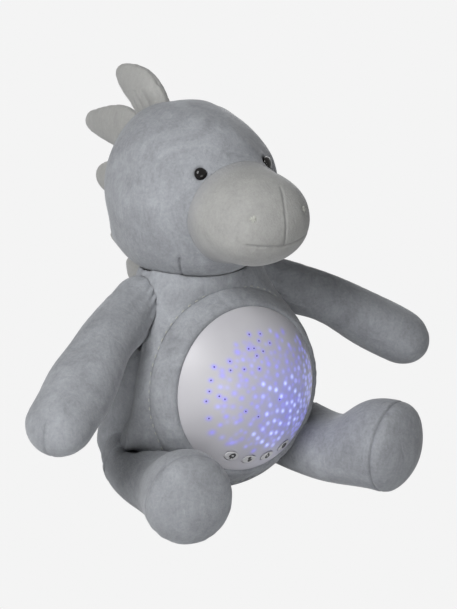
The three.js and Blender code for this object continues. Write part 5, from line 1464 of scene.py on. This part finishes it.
white_abs = moulded("white_abs", "d8d8d4", "e9e9e6")
dress_parts(white_abs, "rear_housing", "inner_deck", "battery_door", "eye_washer_left",
            "eye_washer_right")
dress_parts(moulded("reflector_gloss", "e9e9e7", "f7f7f5", 0.2, 500.0, 0.04), "reflector")
dress_parts(moulded("bezel_abs", "85878d", "97999f", 0.5), "bezel_ring")
dress_parts(moulded("switch_abs", "1b1b1d", "2c2c2f", 0.5), *[f"tact_switch_{i}" for i in range(1, 5)])
dress_parts(moulded("led_epoxy", "a9a6ea", "cfd0ff", 0.1, 400.0, 0.02, Transmission_Weight=0.5),
            *[f"led_{i}" for i in range(1, 4)])
dress_parts(moulded("red_pvc", "8f221e", "b5332d", 0.45), "battery_lead_1")
dress_parts(moulded("black_pvc", "161618", "242427", 0.45), "battery_lead_2", "speaker_lead")
dress_parts(moulded("cone_paper_pulp", "1f1f21", "3b3a3a", 0.85, 1400.0, 0.5), "speaker_cone")
dress_parts(metal("zinc_steel", "6f7072", "a4a6a8", 0.3, 400), "speaker_basket", "speaker_magnet",
            "door_screw", *[f"housing_screw_{i}" for i in range(1, 5)])
dress_parts(metal("nickel_strip", "9c9a94", "cbc9c3", 0.22, 500),
            *[f"battery_contact_{i}" for i in range(1, 5)])
dress_parts(tape, "flap_hook_strip", "torso_loop_strip")

lacquer, v, shader = start_material("board_lacquer", Roughness=0.4, Coat_Weight=0.4)
place = v.place()
tracks = v.node("ShaderNodeTexBrick", {"offset": 0.5}, {
    "Vector": v.node("ShaderNodeMapping", {}, {0: place, 2: (math.radians(82), 0, 0)}),
    "Scale": 160.0, "Mortar Size": 0.03, "Color1": (0, 0, 0, 1), "Color2": (0.15, 0.15, 0.15, 1),
    "Mortar": (1, 1, 1, 1)})
fine = v.noise(place, 500, 2.0)
copper = (tracks * 0.8 + (fine - 0.5) * 0.2).limited()
raised = v.bump(0.2, tracks, 0.1)
finish_material(lacquer, shader, Base_Color=copper.mixed(srgb("17583a"), srgb("2f8a58")), Normal=raised)
dress_parts(lacquer, "control_board")

jacket, v, shader = start_material("cell_jacket_film", Roughness=0.3, Coat_Weight=0.3)
place = v.place()
across = v.node("ShaderNodeSeparateXYZ", {}, {0: place})
fine = v.noise(place, 300, 2.0)
band = v.math("ABSOLUTE", across).between(0.0165, 0.0172)
base = fine.mixed(srgb("52667c"), srgb("62778e"))
finish_material(jacket, shader, Base_Color=band.mixed(base, srgb("b08a4e")),
                Roughness=0.25 + fine * 0.15)
dress_parts(jacket, *[f"battery_{i}" for i in range(1, 4)])

# Floor, light and camera: a pale studio with a soft lamp high to the left of the camera, weaker low
# ones beside the camera and behind the toy, and a little even light from all round.

AZIMUTH, ELEVATION, DISTANCE = math.radians(-35.5), math.radians(18.5), 950
LOOK_AT = np.array([2.85, -22.03, 113.0])
FOCAL_PIXELS, SENSOR_WIDE, PICTURE_TALL = 1600, 36, 609
back = np.array([math.sin(AZIMUTH) * math.cos(ELEVATION),
                 -math.cos(AZIMUTH) * math.cos(ELEVATION), math.sin(ELEVATION)])
camera_data = bpy.data.cameras.new("camera")
camera_data.lens = FOCAL_PIXELS * SENSOR_WIDE / PICTURE_TALL
camera = bpy.data.objects.new("camera", camera_data)
camera.location = (LOOK_AT + back * DISTANCE) * MM
camera.rotation_euler = (-Vector(back)).to_track_quat("-Z", "Y").to_euler()
bpy.context.scene.collection.objects.link(camera)
bpy.context.scene.camera = camera

for name, turn, rise, away, size, power in (
        ("key_light", -70, 42, 1200, 0.65, 12.6), ("fill_light", -20, 3, 1200, 0.6, 4.1),
        ("back_light", 150, 8, 1200, 0.9, 8)):
    lamp_data = bpy.data.lights.new(name, "AREA")
    lamp_data.shape, lamp_data.size, lamp_data.energy = "DISK", size, power
    light = bpy.data.objects.new(name, lamp_data)
    a, e = math.radians(turn), math.radians(rise)
    way = Vector((math.sin(a) * math.cos(e), -math.cos(a) * math.cos(e), math.sin(e)))
    light.location = Vector(LOOK_AT * MM) + way * away * MM
    light.rotation_euler = (-way).to_track_quat("-Z", "Y").to_euler()
    bpy.context.scene.collection.objects.link(light)

PAPER_WHITE, EVEN_LIGHT = srgb("f4f4f4"), 0.06


def seen(v):
    """1 for the rays that show the background: to the camera, off gloss and through plastic."""
    rays = v.node("ShaderNodeLightPath").socket.node
    camera_ray, glossy, through = (
        Value(v.tree, rays.outputs[f"Is {name} Ray"]) for name in ("Camera", "Glossy", "Transmission"))
    return (camera_ray + glossy + through).limited()


world = bpy.data.worlds.new("studio")
bpy.context.scene.world = world
world.use_nodes = True
world_colour = seen(Value(world.node_tree)).mixed((*[EVEN_LIGHT] * 3, 1), PAPER_WHITE)
world.node_tree.links.new(world_colour.socket, world.node_tree.nodes["Background"].inputs["Color"])

floor = add_mesh("floor", block((-6000, -6000, -20), (6000, 6000, -0.3)))
paper, v, shader = start_material("paper", Base_Color=srgb("e6e6e6"), Roughness=1.0)
glow = v.node("ShaderNodeEmission", {}, {"Color": PAPER_WHITE, "Strength": 1.0})
lit = Value(paper.node_tree, shader.outputs[0])
mixed = v.node("ShaderNodeMixShader", {}, {0: seen(v), 1: lit, 2: glow})
paper.node_tree.links.new(mixed.socket, paper.node_tree.nodes["Material Output"].inputs[0])
floor.data.materials.append(paper)

bpy.context.scene.view_settings.view_transform = "Standard"
